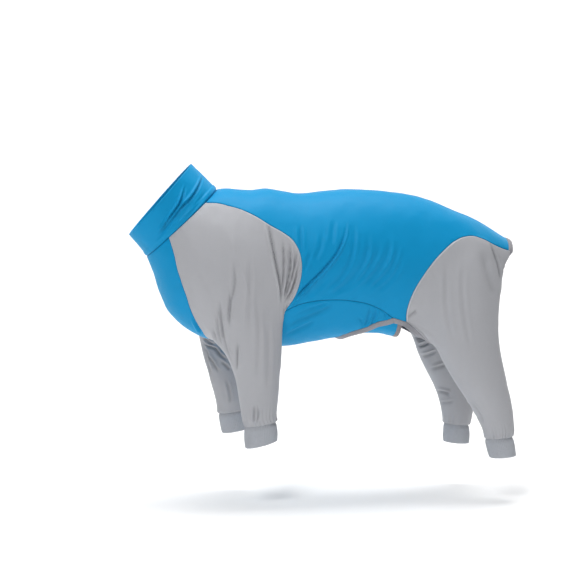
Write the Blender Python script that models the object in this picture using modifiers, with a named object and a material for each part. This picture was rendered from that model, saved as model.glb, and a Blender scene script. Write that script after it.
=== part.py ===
"""Dog jumpsuit with a roll collar, raglan sleeves, long hind legs and knitted cuffs.

The suit is shown in its worn form. Its wearer faces -X and its left side is toward -Y.
The origin lies at the withers, where the back of the suit sits on the wearer's back.
Lengths in the tables are shares of the named sizes. Side-view places are x as a share of
BODY_LENGTH and z as a share of BODY_DEPTH, both from the origin.
"""

import math

import bpy
import numpy as np

# Body sizes in metres
BODY_LENGTH = 0.460
BODY_DEPTH = 0.280
BODY_WIDTH = 0.212
BELLY_LEVEL = 0.263

# Collar sizes
COLLAR_BACK = 0.063
COLLAR_FRONT = 0.048
COLLAR_WIDTH = 0.138
NAPE_LEAN = 134.0
THROAT_LEAN = 129.0

# Front leg and cuff sizes
FRONT_DROP = 0.147
FRONT_STANCE = 0.150
FRONT_LEG_WIDTH = 0.086
FRONT_LEG_THICKNESS = 0.070
FRONT_CUFF_HEIGHT = 0.034
FRONT_CUFF_WIDTH = 0.0556
FRONT_CUFF_THICKNESS = 0.046

# Hind leg and cuff sizes
HIND_DROP = 0.180
HIND_STANCE = 0.148
HIND_LEG_WIDTH = 0.112
HIND_LEG_THICKNESS = 0.078
HIND_CUFF_HEIGHT = 0.033
HIND_CUFF_WIDTH = 0.0485
HIND_CUFF_THICKNESS = 0.042

# Cloth and seam sizes
WALL = 0.0016
COLLAR_WALL = 0.0022
CUFF_WALL = 0.0024
SEAM_GAP = 0.00095
BINDING_WIDTH = 0.0085
BINDING_THICKNESS = 0.0016
BINDING_RISE = 0.0002
ARCH_BINDING_DROP = 0.5
FLAP_CLEARANCE = 0.0024
FLAP_BINDING_WIDTH = 0.007
FOLD_WIDTH = 0.012
FOLD_DEPTH = 0.0055
FOLD_FADE = 0.024
HEM_OVERHANG = 0.0022

# Grid steps along each seam. Panels that meet share the steps of the seam between them.
NAPE_STEPS = 2
SHOULDER_STEPS = 5
CHEST_STEPS = 8
FRONT_RAGLAN_STEPS = 6
UNDERARM_STEPS = 5
BACK_RAGLAN_STEPS = 10
FLANK_STEPS = 13
LOWER_STEPS = 2
RUMP_STEPS = 2
SLEEVE_ROWS = (8, 6)
HIND_ROWS = (8, 6)
COLLAR_ROWS = 5
ROW_CROWDING = 1.35
CUFF_ROWS = 3
BINDING_ROWS = 2
FLAP_STEPS = (6, 10)
SETTLING_ROUNDS = 400

LEFT = -1
RIGHT = 1

# Lengths in metres that one whole station and one whole way round stand for, the step in
# both that finds a direction on the body form, and how far each panel's rows move from
# where they settle to even steps
PLACE_SCALE = (0.60, 0.32)
PLACE_STEP = 0.004
BACK_EVENNESS = 0.6
UNDERSIDE_EVENNESS = 0.0

# Shape of a fold across its line: height, place and spread of the ridges beside the valley
# as shares of its depth and width, how fast its ends rise, and how fast it fades where the
# cloth turns away from the side
RIDGE = (0.55, 1.5, 0.6)
FOLD_ENDS = 5.0
FOLD_TURN = 1.6

# Rounds of easing of a leg's cloth, easing of the binding's ways toward their neighbours,
# gap above a cuff as a share of SEAM_GAP, and the angle from which an edge shows
LEG_EASING = 2
BINDING_EASING = 0.08
CUFF_GAP_SHARE = 0.3
EDGE_ANGLE = 50.0

# Side-view places where three seams meet: x, z
ARMPIT = (0.109, -0.746)
ARCH_END = (0.534, -0.806)
GROIN = (0.588, -0.834)
RUMP_CORNER = (0.995, -0.385)

# Body sections: station, back x, back z, belly x, belly z, half width as a share of
# BODY_WIDTH, back roundness, belly roundness (1 is an ellipse, less is squarer)
RIBS = (
    (0.00, -0.132, 0.004, -0.403, -0.415, 0.330, 1.00, 1.00),
    (0.08, -0.095, 0.012, -0.374, -0.535, 0.385, 0.98, 0.98),
    (0.16, -0.050, 0.004, -0.349, -0.660, 0.430, 0.95, 0.95),
    (0.24, 0.004, 0.000, -0.308, -0.790, 0.462, 0.92, 0.90),
    (0.32, 0.064, 0.010, -0.205, -0.925, 0.482, 0.90, 0.85),
    (0.40, 0.130, -0.008, -0.060, -0.975, 0.494, 0.90, 0.80),
    (0.48, 0.200, -0.018, 0.090, -1.000, 0.500, 0.90, 0.80),
    (0.56, 0.290, -0.006, 0.230, -0.974, 0.494, 0.90, 0.80),
    (0.64, 0.390, 0.004, 0.370, -0.940, 0.478, 0.90, 0.76),
    (0.72, 0.500, -0.004, 0.490, -0.936, 0.458, 0.90, 0.70),
    (0.80, 0.630, -0.030, 0.600, -0.955, 0.444, 0.90, 0.66),
    (0.88, 0.770, -0.103, 0.735, -0.860, 0.425, 0.92, 0.75),
    (0.94, 0.895, -0.196, 0.875, -0.700, 0.355, 0.95, 0.85),
    (1.00, 1.020, -0.316, 1.000, -0.530, 0.190, 1.00, 1.00),
)

# Seams seen from the side: x, z
BACK_RAGLAN = (
    (-0.152, -0.086),
    (-0.101, -0.091),
    (-0.050, -0.115),
    (-0.005, -0.149),
    (0.057, -0.212),
    (0.101, -0.253),
    (0.134, -0.292),
    (0.160, -0.358),
    (0.171, -0.429),
    (0.171, -0.510),
    (0.162, -0.585),
    (0.145, -0.660),
    ARMPIT,
)
FRONT_RAGLAN = (
    (-0.306, -0.331),
    (-0.303, -0.402),
    (-0.292, -0.489),
    (-0.277, -0.568),
    (-0.261, -0.643),
    (-0.246, -0.723),
    (-0.228, -0.793),
    (-0.203, -0.862),
    (-0.172, -0.925),
)
FLANK = (
    ARMPIT,
    (0.164, -0.706),
    (0.218, -0.687),
    (0.272, -0.680),
    (0.326, -0.681),
    (0.380, -0.691),
    (0.434, -0.711),
    (0.478, -0.743),
    (0.511, -0.777),
    ARCH_END,
)
LOWER_EDGE = (
    ARCH_END,
    (0.560, -0.820),
    GROIN,
)
HIND_SEAM = (
    GROIN,
    (0.585, -0.770),
    (0.602, -0.656),
    (0.659, -0.497),
    (0.735, -0.361),
    (0.776, -0.314),
    (0.816, -0.291),
    (0.857, -0.289),
    (0.897, -0.310),
    (0.940, -0.345),
    RUMP_CORNER,
)
BELLY_ARCH = (
    ARCH_END,
    (0.508, -0.823),
    (0.478, -0.832),
    (0.452, -0.853),
    (0.430, -0.873),
    (0.405, -0.886),
    (0.378, -0.902),
    (0.352, -0.924),
)
ARCH_APEX_STATION = 0.618

# Inner flap behind the arch: first and last station, share of the way round of its side
FLAP_PLACE = (0.605, 0.780, 0.745)

# Underarm seam between the two raglan seams: station, share of the way round to the belly
UNDERARM_MIDDLE = (
    (0.385, 0.905),
    (0.430, 0.870),
    (0.468, 0.800),
)

# Inner edge of a hind leg from the rump round to the groin: x, z, distance from the middle
# as a share of BODY_WIDTH, then the way the binding stands out of it
LEG_EDGE = (
    (*RUMP_CORNER, 0.160, 0.80, 0.10, -0.35),
    (0.992, -0.430, 0.178, 0.75, 0.35, -0.20),
    (0.980, -0.500, 0.196, 0.70, 0.60, 0.10),
    (0.955, -0.590, 0.200, 0.50, 0.75, 0.35),
    (0.915, -0.700, 0.170, 0.30, 0.60, 0.70),
    (0.855, -0.820, 0.145, 0.20, 0.35, 0.90),
    (0.785, -0.915, 0.150, 0.05, 0.35, 0.90),
    (0.725, -0.970, 0.210, -0.30, 0.60, 0.60),
    (0.688, -0.972, 0.300, -0.60, 0.70, 0.10),
    (0.655, -0.930, 0.360, -0.60, 0.60, -0.45),
    (0.624, -0.884, 0.372, -0.45, 0.45, -0.75),
    (*GROIN, 0.350, -0.15, 0.25, -0.95),
)

# Loops at the top of a leg: for each corner, the ring angle that it runs down to (0 front,
# 90 outer side, 180 rear) and how far its first step leans toward that ring
SLEEVE_LOOP = ((100, 0.25), (35, 0.30), (-12, 0.90), (-170, 0.70), (-260, 0.25))
HIND_LOOP = ((50, 0.35), (160, 0.40), (200, 0.60), (355, 0.80), (410, 0.40))
HIND_LOOP_STEPS = (10, 3, 6, 3)

# Leg rings: drop as a share of the leg's drop, centre x as a share of BODY_LENGTH, half
# width and half thickness as shares of the leg's, spread as a share of the stance, rise of
# the rear side as a share of the leg's width
FRONT_LEFT_RINGS = (
    (0.310, 0.006, 0.500, 0.500, 0.500, 0.00),
    (0.456, 0.011, 0.451, 0.465, 0.500, 0.02),
    (0.636, 0.013, 0.419, 0.430, 0.500, 0.04),
    (0.796, 0.015, 0.378, 0.400, 0.500, 0.07),
    (0.930, 0.014, 0.360, 0.385, 0.500, 0.10),
)
FRONT_RIGHT_RINGS = (
    (0.310, -0.080, 0.500, 0.500, 0.500, 0.00),
    (0.456, -0.075, 0.451, 0.465, 0.500, 0.02),
    (0.636, -0.065, 0.419, 0.430, 0.500, 0.04),
    (0.796, -0.059, 0.378, 0.400, 0.500, 0.06),
    (0.930, -0.053, 0.355, 0.385, 0.500, 0.08),
)
HIND_LEFT_RINGS = (
    (0.206, 0.843, 0.498, 0.500, 0.480, 0.00),
    (0.411, 0.878, 0.436, 0.455, 0.485, 0.02),
    (0.592, 0.912, 0.362, 0.400, 0.490, 0.03),
    (0.761, 0.938, 0.308, 0.355, 0.495, 0.04),
    (0.930, 0.958, 0.262, 0.320, 0.500, 0.05),
)
HIND_RIGHT_RINGS = (
    (0.206, 0.811, 0.486, 0.500, 0.480, 0.00),
    (0.411, 0.832, 0.420, 0.455, 0.485, 0.00),
    (0.592, 0.857, 0.353, 0.400, 0.490, -0.01),
    (0.761, 0.867, 0.300, 0.355, 0.495, -0.02),
    (0.930, 0.870, 0.250, 0.320, 0.500, -0.03),
)

# Cuff rings: centre x at the top and at the bottom, rise of the rear side at both as a
# share of the cuff's width
FRONT_LEFT_CUFF = (0.022, 0.025, 0.17, 0.23)
FRONT_RIGHT_CUFF = (-0.054, -0.040, 0.15, 0.18)
HIND_LEFT_CUFF = (0.957, 0.973, 0.10, 0.06)
HIND_RIGHT_CUFF = (0.866, 0.866, -0.08, -0.08)

# Folds, from their upper end over a middle point to their lower end: x, z three times,
# width as a share of FOLD_WIDTH, depth as a share of FOLD_DEPTH
BACK_FOLDS = (
    (0.346, -0.180, 0.325, -0.440, 0.165, -0.680, 0.80, 1.20),
    (0.385, -0.270, 0.365, -0.520, 0.235, -0.660, 0.90, 0.80),
    (0.452, -0.320, 0.410, -0.500, 0.285, -0.660, 0.95, 0.70),
    (0.505, -0.370, 0.465, -0.540, 0.340, -0.660, 0.95, 0.65),
    (0.550, -0.390, 0.510, -0.560, 0.390, -0.670, 1.00, 0.50),
    (0.186, -0.210, 0.195, -0.320, 0.190, -0.420, 0.90, 0.45),
)
BELLY_FOLDS = (
    (0.130, -0.860, 0.205, -0.790, 0.310, -0.730, 0.90, 0.55),
    (0.130, -0.900, 0.180, -0.870, 0.235, -0.835, 0.90, 0.45),
    (0.452, -0.750, 0.440, -0.800, 0.425, -0.860, 0.60, 0.50),
    (0.478, -0.775, 0.468, -0.800, 0.455, -0.840, 0.60, 0.45),
)
SLEEVE_FOLDS = (
    (0.048, -0.200, 0.080, -0.480, 0.088, -0.690, 1.00, 1.00),
    (0.122, -0.320, 0.112, -0.500, 0.098, -0.660, 0.80, 0.50),
    (0.150, -0.420, 0.128, -0.560, 0.108, -0.660, 0.80, 0.45),
    (-0.080, -0.430, -0.085, -0.720, -0.100, -0.960, 0.90, 0.80),
    (-0.130, -0.700, -0.122, -0.850, -0.112, -0.960, 0.80, 0.60),
    (-0.150, -0.790, -0.140, -0.880, -0.124, -0.980, 0.80, 0.60),
    (-0.070, -0.980, -0.070, -1.040, -0.070, -1.120, 0.80, 0.70),
)
HIND_FOLDS = (
    (0.875, -0.375, 0.905, -0.520, 0.925, -0.700, 1.60, 0.75),
    (0.592, -0.800, 0.605, -0.785, 0.620, -0.765, 0.80, 0.40),
    (0.730, -1.090, 0.780, -1.080, 0.830, -1.060, 0.90, 0.45),
    (0.790, -1.240, 0.830, -1.235, 0.880, -1.215, 0.90, 0.45),
)
COLLAR_FOLDS = (
    (-0.178, 0.020, -0.255, -0.130, -0.355, -0.320, 0.85, 0.75),
    (-0.258, -0.055, -0.310, -0.150, -0.352, -0.235, 0.80, 0.85),
)

# Cloth colours
BLUE = (0.014, 0.235, 0.515)
GREY = (0.415, 0.420, 0.445)
CUFF_GREY = (0.330, 0.345, 0.375)
BINDING_GREY = (0.300, 0.300, 0.325)
FLAP_GREY = (0.265, 0.235, 0.240)


def unit(vectors):
    """Vectors of length one."""
    size = np.linalg.norm(vectors, axis=-1, keepdims=True)
    return vectors / np.maximum(size, 1e-12)


def smooth_step(share):
    """Rises softly from 0 to 1."""
    share = np.clip(share, 0.0, 1.0)
    return share * share * (3.0 - 2.0 * share)


def through(keys, rows, at):
    """Rows of numbers read at the given keys from a smooth curve through every row."""
    keys = np.asarray(keys, float)
    rows = np.asarray(rows, float)
    at = np.asarray(at, float)
    slopes = np.gradient(rows, keys, axis=0)
    i = np.clip(np.searchsorted(keys, at) - 1, 0, len(keys) - 2)
    width = (keys[i + 1] - keys[i])[..., None]
    s = np.clip((at - keys[i])[..., None] / width, 0.0, 1.0)
    rise = s * s * (3.0 - 2.0 * s)
    start = s * (1.0 - s) ** 2
    end = s * s * (s - 1.0)
    value = rows[i] * (1.0 - rise) + rows[i + 1] * rise
    return value + width * (start * slopes[i] + end * slopes[i + 1])


def distances(points):
    """Distance of each point along a line of points."""
    steps = np.linalg.norm(np.diff(points, axis=0), axis=1)
    return np.concatenate([[0.0], np.cumsum(steps)])


def path(points, samples=400):
    """Many points along a smooth curve through a few."""
    points = np.asarray(points, float)
    keys = distances(points)
    return through(keys, points, np.linspace(0.0, keys[-1], samples))


def even_steps(points, count, measure=None):
    """count + 1 points at even steps along a line, measured on the line or on its image."""
    along = distances(points if measure is None else measure(points))
    at = np.linspace(0.0, along[-1], count + 1)
    columns = [np.interp(at, along, column) for column in np.asarray(points).T]
    return np.stack(columns, axis=1)


def rib(station):
    """Back point, belly point, half width and the two roundnesses at each station."""
    table = np.array(RIBS)
    row = through(table[:, 0], table[:, 1:], station)
    back = row[..., 0:2] * (BODY_LENGTH, BODY_DEPTH)
    belly = row[..., 2:4] * (BODY_LENGTH, BODY_DEPTH)
    return back, belly, row[..., 4] * BODY_WIDTH, row[..., 5], row[..., 6]


def trunk(places):
    """Points of the body form at (station, round) places.

    Round runs from 0 on the back over the left side to 1 on the belly, and from there over
    the right side to 2. Minus numbers are on the right side too.
    """
    places = np.asarray(places, float)
    turn = (places[..., 1] + 1.0) % 2.0 - 1.0
    share = np.abs(turn)
    back, belly, half, upper, lower = rib(places[..., 0])
    height = (0.5 + 0.5 * np.cos(np.pi * share))[..., None]
    line = belly + (back - belly) * height
    power = np.where(share < 0.5, upper, lower)
    reach = half * np.sin(np.pi * share) ** power
    return np.stack([line[..., 0], np.where(turn >= 0, LEFT, RIGHT) * reach, line[..., 1]], axis=-1)


def trunk_normal(places):
    """Directions that point out of the body form at the places."""
    places = np.asarray(places, float)
    inner = places.copy()
    inner[..., 0] = np.clip(inner[..., 0], PLACE_STEP, 1.0 - PLACE_STEP)
    along = trunk(inner + (PLACE_STEP, 0.0)) - trunk(inner - (PLACE_STEP, 0.0))
    across = trunk(inner + (0.0, PLACE_STEP)) - trunk(inner - (0.0, PLACE_STEP))
    normal = unit(np.cross(along, across))
    back, belly, _, _, _ = rib(inner[..., 0])
    middle = (back + belly) / 2.0
    centre = np.stack([middle[..., 0], np.zeros(middle.shape[:-1]), middle[..., 1]], axis=-1)
    sign = np.sign(np.sum(normal * (trunk(inner) - centre), axis=-1, keepdims=True))
    return normal * sign


def on_trunk(rows):
    """Places on the left side of the body form that show at the side-view rows."""
    spots = np.asarray(rows, float)[:, :2] * (BODY_LENGTH, BODY_DEPTH)
    low = np.zeros(len(spots))
    high = np.ones(len(spots))
    for _ in range(40):
        station = (low + high) / 2.0
        back, belly, _, _, _ = rib(station)
        line = back - belly
        spot = spots - belly
        ahead = line[:, 0] * spot[:, 1] - line[:, 1] * spot[:, 0] > 0.0
        high = np.where(ahead, station, high)
        low = np.where(ahead, low, station)
    back, belly, _, _, _ = rib(low)
    line = back - belly
    height = np.sum((spots - belly) * line, axis=1) / np.sum(line * line, axis=1)
    share = np.arccos(np.clip(2.0 * height - 1.0, -1.0, 1.0)) / np.pi
    return np.stack([low, share], axis=1)


def seam(places, count):
    """Places at even steps along a seam through the given places."""
    return even_steps(path(places), count, trunk)


def joined(*lines):
    """Lines laid end to end, without their doubled points."""
    return np.concatenate([line if i == 0 else line[1:] for i, line in enumerate(lines)])


def mirrored(places):
    """The same places on the other side of the body form."""
    return places * (1.0, -1.0) + (0.0, 2.0)


def body_seams():
    """Places along every seam and edge on the left side of the body form."""
    raglan = on_trunk(BACK_RAGLAN)
    chest = on_trunk(FRONT_RAGLAN)
    raglan[0, 0] = 0.0
    chest[0, 0] = 0.0
    rear = on_trunk(HIND_SEAM)
    rear[-1, 0] = 1.0
    flank = on_trunk(FLANK)
    flank[0] = raglan[-1]
    groin = on_trunk(LOWER_EDGE)
    groin[0] = flank[-1]
    rear[0] = groin[-1]
    arch = on_trunk(BELLY_ARCH)
    arch[0] = flank[-1]
    apex = np.array([[ARCH_APEX_STATION, 1.0]])
    whole_arch = np.concatenate([arch, apex, mirrored(arch)[::-1]])
    nape = np.array([[0.0, 0.0], raglan[0]])
    shoulder = np.array([raglan[0], chest[0]])
    throat = np.array([chest[0], [0.0, 1.0], mirrored(chest[:1])[0]])
    rump = np.array([[1.0, 0.0], rear[-1]])
    under = np.concatenate([chest[-1:], np.array(UNDERARM_MIDDLE), raglan[-1:]])
    return {
        "nape": seam(nape, NAPE_STEPS),
        "shoulder": seam(shoulder, SHOULDER_STEPS),
        "throat": seam(throat, CHEST_STEPS),
        "back_raglan": seam(raglan, BACK_RAGLAN_STEPS),
        "front_raglan": seam(chest, FRONT_RAGLAN_STEPS),
        "underarm": seam(under, UNDERARM_STEPS),
        "flank": seam(flank, FLANK_STEPS),
        "lower": seam(groin, LOWER_STEPS),
        "hind": seam(rear, HIND_LOOP_STEPS[0]),
        "rump": seam(rump, RUMP_STEPS),
        "arch": seam(whole_arch, CHEST_STEPS),
    }


def patch(front, rear, first, last, evenness):
    """Grid of places between a front and a rear line and two lines along the body.

    The evenness says how far the rows move from where they settle to even steps.
    """
    u = np.linspace(0.0, 1.0, len(first))[:, None, None]
    v = np.linspace(0.0, 1.0, len(front))[None, :, None]
    across = front[None] * (1.0 - u) + rear[None] * u
    along = first[:, None] * (1.0 - v) + last[:, None] * v
    corners = (first[0] * (1.0 - v) + last[0] * v) * (1.0 - u)
    corners = corners + (first[-1] * (1.0 - v) + last[-1] * v) * u
    grid = settled((across + along - corners) * PLACE_SCALE)
    for j in range(1, len(front) - 1):
        along = distances(grid[:, j])
        at = np.linspace(0.0, along[-1], len(along)) * evenness + along * (1.0 - evenness)
        columns = [np.interp(at, along, column) for column in grid[:, j].T]
        grid[:, j] = np.stack(columns, axis=1)
    return grid / PLACE_SCALE


def settled(grid):
    """Flat grid whose inner points settle to smooth lines that stay within its edges."""
    for _ in range(SETTLING_ROUNDS):
        down = grid[2:, 1:-1] - grid[:-2, 1:-1]
        side = grid[1:-1, 2:] - grid[1:-1, :-2]
        along = np.sum(side * side, axis=-1, keepdims=True)
        across = np.sum(down * down, axis=-1, keepdims=True)
        mixed = np.sum(down * side, axis=-1, keepdims=True)
        skew = grid[2:, 2:] - grid[2:, :-2] - grid[:-2, 2:] + grid[:-2, :-2]
        total = along * (grid[2:, 1:-1] + grid[:-2, 1:-1])
        total = total + across * (grid[1:-1, 2:] + grid[1:-1, :-2]) - 0.5 * mixed * skew
        grid[1:-1, 1:-1] = total / (2.0 * (along + across) + 1e-12)
    return grid


def grid_normals(grid, around=False):
    """Normals of a grid of points, whose second direction may close on itself."""
    down = np.gradient(grid, axis=0)
    if around:
        side = np.roll(grid, -1, axis=1) - np.roll(grid, 1, axis=1)
    else:
        side = np.gradient(grid, axis=1)
    return unit(np.cross(down, side))


def facing_out(grid, normals, centres):
    """Normals turned so that they point away from the centres."""
    sign = np.sum(normals * (grid - centres), axis=-1, keepdims=True)
    return normals * np.where(np.median(sign) < 0.0, -1.0, 1.0)


def edge_distance(grid, around=False, free_end=False):
    """Distance of each grid point to the nearest edge, along the grid lines."""
    down = np.linalg.norm(np.diff(grid, axis=0), axis=2)
    along = np.concatenate([np.zeros((1, grid.shape[1])), np.cumsum(down, axis=0)])
    nearest = along if free_end else np.minimum(along, along[-1:] - along)
    if around:
        return nearest
    side = np.linalg.norm(np.diff(grid, axis=1), axis=2)
    across = np.concatenate([np.zeros((grid.shape[0], 1)), np.cumsum(side, axis=1)], axis=1)
    return np.minimum(nearest, np.minimum(across, across[:, -1:] - across))


def fold_field(x, z, folds):
    """Height of the folds at side-view points, ridges up and valleys down."""
    height = np.zeros(x.shape)
    ridge_height, ridge_place, ridge_spread = RIDGE
    share = np.linspace(0.0, 1.0, 25)
    for x0, z0, x1, z1, x2, z2, width, depth in folds:
        bend = np.array([[x0, z0], [x1, z1], [x2, z2]]) * (BODY_LENGTH, BODY_DEPTH)
        line = path(bend, len(share))
        away = np.hypot(x[..., None] - line[:, 0], z[..., None] - line[:, 1])
        nearest = np.argmin(away, axis=-1)
        gap = np.min(away, axis=-1) / (width * FOLD_WIDTH)
        ends = np.minimum(share[nearest], 1.0 - share[nearest])
        ends = smooth_step(ends * FOLD_ENDS)
        valley = -np.exp(-gap * gap)
        ridge = ridge_height * np.exp(-((gap - ridge_place) ** 2) / ridge_spread)
        height = height + depth * ends * (valley + ridge)
    return np.tanh(height) * FOLD_DEPTH


def folded(grid, normals, folds, shift=0.0, around=False, free_end=False):
    """Grid pushed along its normals by the folds on its outer side, fading at its edges."""
    height = fold_field(grid[..., 0] - shift, grid[..., 2], folds)
    outer = np.sign(grid[..., 1]) * normals[..., 1]
    shown = smooth_step(outer * FOLD_TURN)
    fade = smooth_step(edge_distance(grid, around, free_end) / FOLD_FADE)
    return grid + normals * (height * shown * fade)[..., None]


def drawn_in(grid, gap, sides):
    """Grid whose named edges are drawn in by the gap, square to each edge."""
    moved = grid.copy()
    edges = {
        "first": (grid[0], grid[1], (0, slice(None))),
        "last": (grid[-1], grid[-2], (-1, slice(None))),
        "near": (grid[:, 0], grid[:, 1], (slice(None), 0)),
        "far": (grid[:, -1], grid[:, -2], (slice(None), -1)),
    }
    for name in sides:
        edge, inner, where = edges[name]
        tangent = unit(np.gradient(edge, axis=0))
        inward = inner - edge
        inward = inward - tangent * np.sum(inward * tangent, axis=-1, keepdims=True)
        moved[where] = moved[where] + unit(inward) * gap
    return moved


def cloth(name, grid, normals, wall, material, parts, around=False):
    """Object made of a grid of points with a wall that goes inward from it."""
    rows, columns = grid.shape[:2]
    last = columns if around else columns - 1
    faces = []
    for i in range(rows - 1):
        for j in range(last):
            k = (j + 1) % columns
            faces.append((i * columns + j, i * columns + k, (i + 1) * columns + k, (i + 1) * columns + j))
    points = grid.reshape(-1, 3)
    first = np.array(faces)
    cross = np.cross(points[first[:, 2]] - points[first[:, 0]], points[first[:, 3]] - points[first[:, 1]])
    agree = np.sum(cross * normals.reshape(-1, 3)[first[:, 0]], axis=1)
    if np.sum(agree) < 0.0:
        faces = [face[::-1] for face in faces]
    mesh = bpy.data.meshes.new(name)
    mesh.from_pydata([tuple(point) for point in points], [], faces)
    mesh.shade_smooth()
    mesh.set_sharp_from_angle(angle=math.radians(EDGE_ANGLE))
    mesh.materials.append(material)
    piece = bpy.data.objects.new(name, mesh)
    parts.objects.link(piece)
    shell = piece.modifiers.new("Wall", "SOLIDIFY")
    shell.thickness = wall
    shell.offset = -1.0
    shell.use_rim = True
    return piece


def back_panel(seams, material, parts):
    """Blue panel over the back and both flanks."""
    front = joined(seams["nape"], seams["back_raglan"])
    rear = joined(seams["rump"], seams["hind"][::-1])
    low = joined(seams["flank"], seams["lower"])
    middle = seam([[0.0, 0.0], [1.0, 0.0]], len(low) - 1)
    half = patch(front, rear, middle, low, BACK_EVENNESS)
    places = np.concatenate([half[:, ::-1], half[:, 1:] * (1.0, -1.0)], axis=1)
    grid = trunk(places)
    normals = trunk_normal(places)
    grid = folded(grid, normals, BACK_FOLDS)
    grid = drawn_in(grid, SEAM_GAP / 2.0, ("first", "last", "near", "far"))
    cloth("back_panel", grid, normals, WALL, material, parts)
    return grid


def underside_panel(seams, material, parts):
    """Blue panel from the throat between the front legs to the belly arch."""
    left = joined(seams["front_raglan"], seams["underarm"], seams["flank"])
    places = patch(seams["throat"], seams["arch"], left, mirrored(left), UNDERSIDE_EVENNESS)
    grid = trunk(places)
    normals = trunk_normal(places)
    grid = folded(grid, normals, BELLY_FOLDS)
    grid = drawn_in(grid, SEAM_GAP / 2.0, ("first", "last", "near", "far"))
    cloth("underside_panel", grid, normals, WALL, material, parts)
    return grid


def collar_rings(seams):
    """Points of the collar's rings from the neck seam up to its rim."""
    left = joined(seams["nape"], seams["shoulder"])
    left = left[:-1]
    around = np.concatenate([left, seams["throat"], mirrored(left)[::-1][:-1]])
    base = trunk(around)
    back, belly, half, _, _ = rib(np.array([0.0]))
    lean = np.radians([NAPE_LEAN, THROAT_LEAN])
    top = np.array([math.cos(lean[0]), 0.0, math.sin(lean[0])]) * COLLAR_BACK
    low = np.array([math.cos(lean[1]), 0.0, math.sin(lean[1])]) * COLLAR_FRONT
    height = (base[:, 2] - belly[0, 1]) / (back[0, 1] - belly[0, 1])
    narrow = COLLAR_WIDTH / (2.0 * half[0])
    rows = []
    for k in range(COLLAR_ROWS + 1):
        share = k / COLLAR_ROWS
        ring = base + (low + (top - low) * height[:, None]) * share
        ring[:, 1] = base[:, 1] * (1.0 + (narrow - 1.0) * share)
        rows.append(ring)
    return np.array(rows)


def collar(seams, material, parts):
    """High collar with two soft slanting folds."""
    grid = collar_rings(seams)
    normals = facing_out(grid, grid_normals(grid, True), grid.mean(axis=1, keepdims=True))
    grid = folded(grid, normals, COLLAR_FOLDS, around=True)
    grid[0] = grid[0] + unit(grid[1] - grid[0]) * SEAM_GAP / 2.0
    return cloth("collar", grid, normals, COLLAR_WALL, material, parts, True)


def ring(row, angles, side, drop, width, thickness, stance):
    """Points of one leg ring at the given angles."""
    down, centre, half_width, half_thickness, spread, rise = row
    turn = np.radians(angles)
    x = centre * BODY_LENGTH - np.cos(turn) * half_width * width
    y = side * (spread * stance + np.sin(turn) * half_thickness * thickness)
    z = -BELLY_LEVEL - down * drop - np.cos(turn) * rise * half_width * width
    return np.stack([x, y, z], axis=-1)


def cuff_ring(cuff, share, angles, side, sizes):
    """Points of a cuff's ring, at its top for share 0 and at its bottom for share 1."""
    drop, width, thickness, height, stance = sizes
    top, bottom, rise_top, rise_bottom = cuff
    turn = np.radians(angles)
    centre = top + (bottom - top) * share
    rise = rise_top + (rise_bottom - rise_top) * share
    x = centre * BODY_LENGTH - np.cos(turn) * width / 2.0
    y = side * (0.5 * stance + np.sin(turn) * thickness / 2.0)
    z = -BELLY_LEVEL - drop - share * height - np.cos(turn) * rise * width / 2.0
    return np.stack([x, y, z], axis=-1)


def leg_grid(loop, ways, angles, rows, rings, side, sizes, cuff_top):
    """Grid of a leg from its loop on the body down to its cuff seam."""
    drop, width, thickness, stance = sizes
    table = np.array(rings)
    top = ring(table[0], angles, side, drop, width, thickness, stance)
    below = ring(table[1], angles, side, drop, width, thickness, stance)
    reach = np.linalg.norm(top - loop, axis=1, keepdims=True)
    down = unit(below - top)
    grid = []
    for k in range(rows[0]):
        s = (k / rows[0]) ** ROW_CROWDING
        rise = s * s * (3.0 - 2.0 * s)
        point = loop * (1.0 - rise) + top * rise
        point = point + reach * (s * (1.0 - s) ** 2 * ways + s * s * (s - 1.0) * down)
        grid.append(point)
    for share in np.linspace(table[0, 0], table[-1, 0], rows[1]):
        row = through(table[:, 0], table, share)
        grid.append(ring(row, angles, side, drop, width, thickness, stance))
    hem = cuff_top + unit(grid[-1] - grid[-1].mean(axis=0)) * HEM_OVERHANG
    hem[:, 2] = cuff_top[:, 2] + 2.0 * HEM_OVERHANG
    grid.append(hem)
    grid.append(cuff_top)
    return np.array(grid)


def relaxed(grid, rounds):
    """Grid with its inner rows eased toward their neighbours, closed round its rings."""
    grid = grid.copy()
    for _ in range(rounds):
        mean = (grid[1:-3] + grid[3:-1]) / 4.0
        mean = mean + (np.roll(grid, 1, axis=1) + np.roll(grid, -1, axis=1))[2:-2] / 4.0
        grid[2:-2] = grid[2:-2] * 0.5 + mean * 0.5
    return grid


def spread_over(corners, counts):
    """Values that run evenly from corner to corner over the given counts of steps."""
    lines = []
    for (first, second), count in zip(zip(corners[:-1], corners[1:]), counts):
        lines.append(np.linspace(first, second, count, endpoint=False))
    return np.concatenate(lines)


def out_of_body(ways, normals):
    """Directions without the part of them that points into the body."""
    inward = np.minimum(np.sum(ways * normals, axis=1, keepdims=True), 0.0)
    return unit(ways - normals * inward)


def loop_ways(loop, normals, inside, toward, lean):
    """First direction of each line that leaves a seam on the body, along its face or down."""
    tangent = unit(np.gradient(loop, axis=0))
    square = np.cross(normals, tangent)
    sign = np.sign(np.sum(square * (inside - loop), axis=1, keepdims=True))
    square = unit(square * sign)
    straight = out_of_body(unit(toward - loop), normals)
    back = np.minimum(np.sum(straight * square, axis=1, keepdims=True), 0.0)
    return unit(square * (1.0 - lean) + (straight - square * back) * lean)


def eased_round(ways, normals):
    """Directions round a loop eased toward their neighbours, still out of the body."""
    beside = np.roll(ways, 1, axis=0) + np.roll(ways, -1, axis=0)
    return out_of_body(unit(ways * 2.0 + beside), normals)


def axis_points(grid):
    """Middle of each ring of a leg."""
    return grid.mean(axis=1, keepdims=True)


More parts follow.
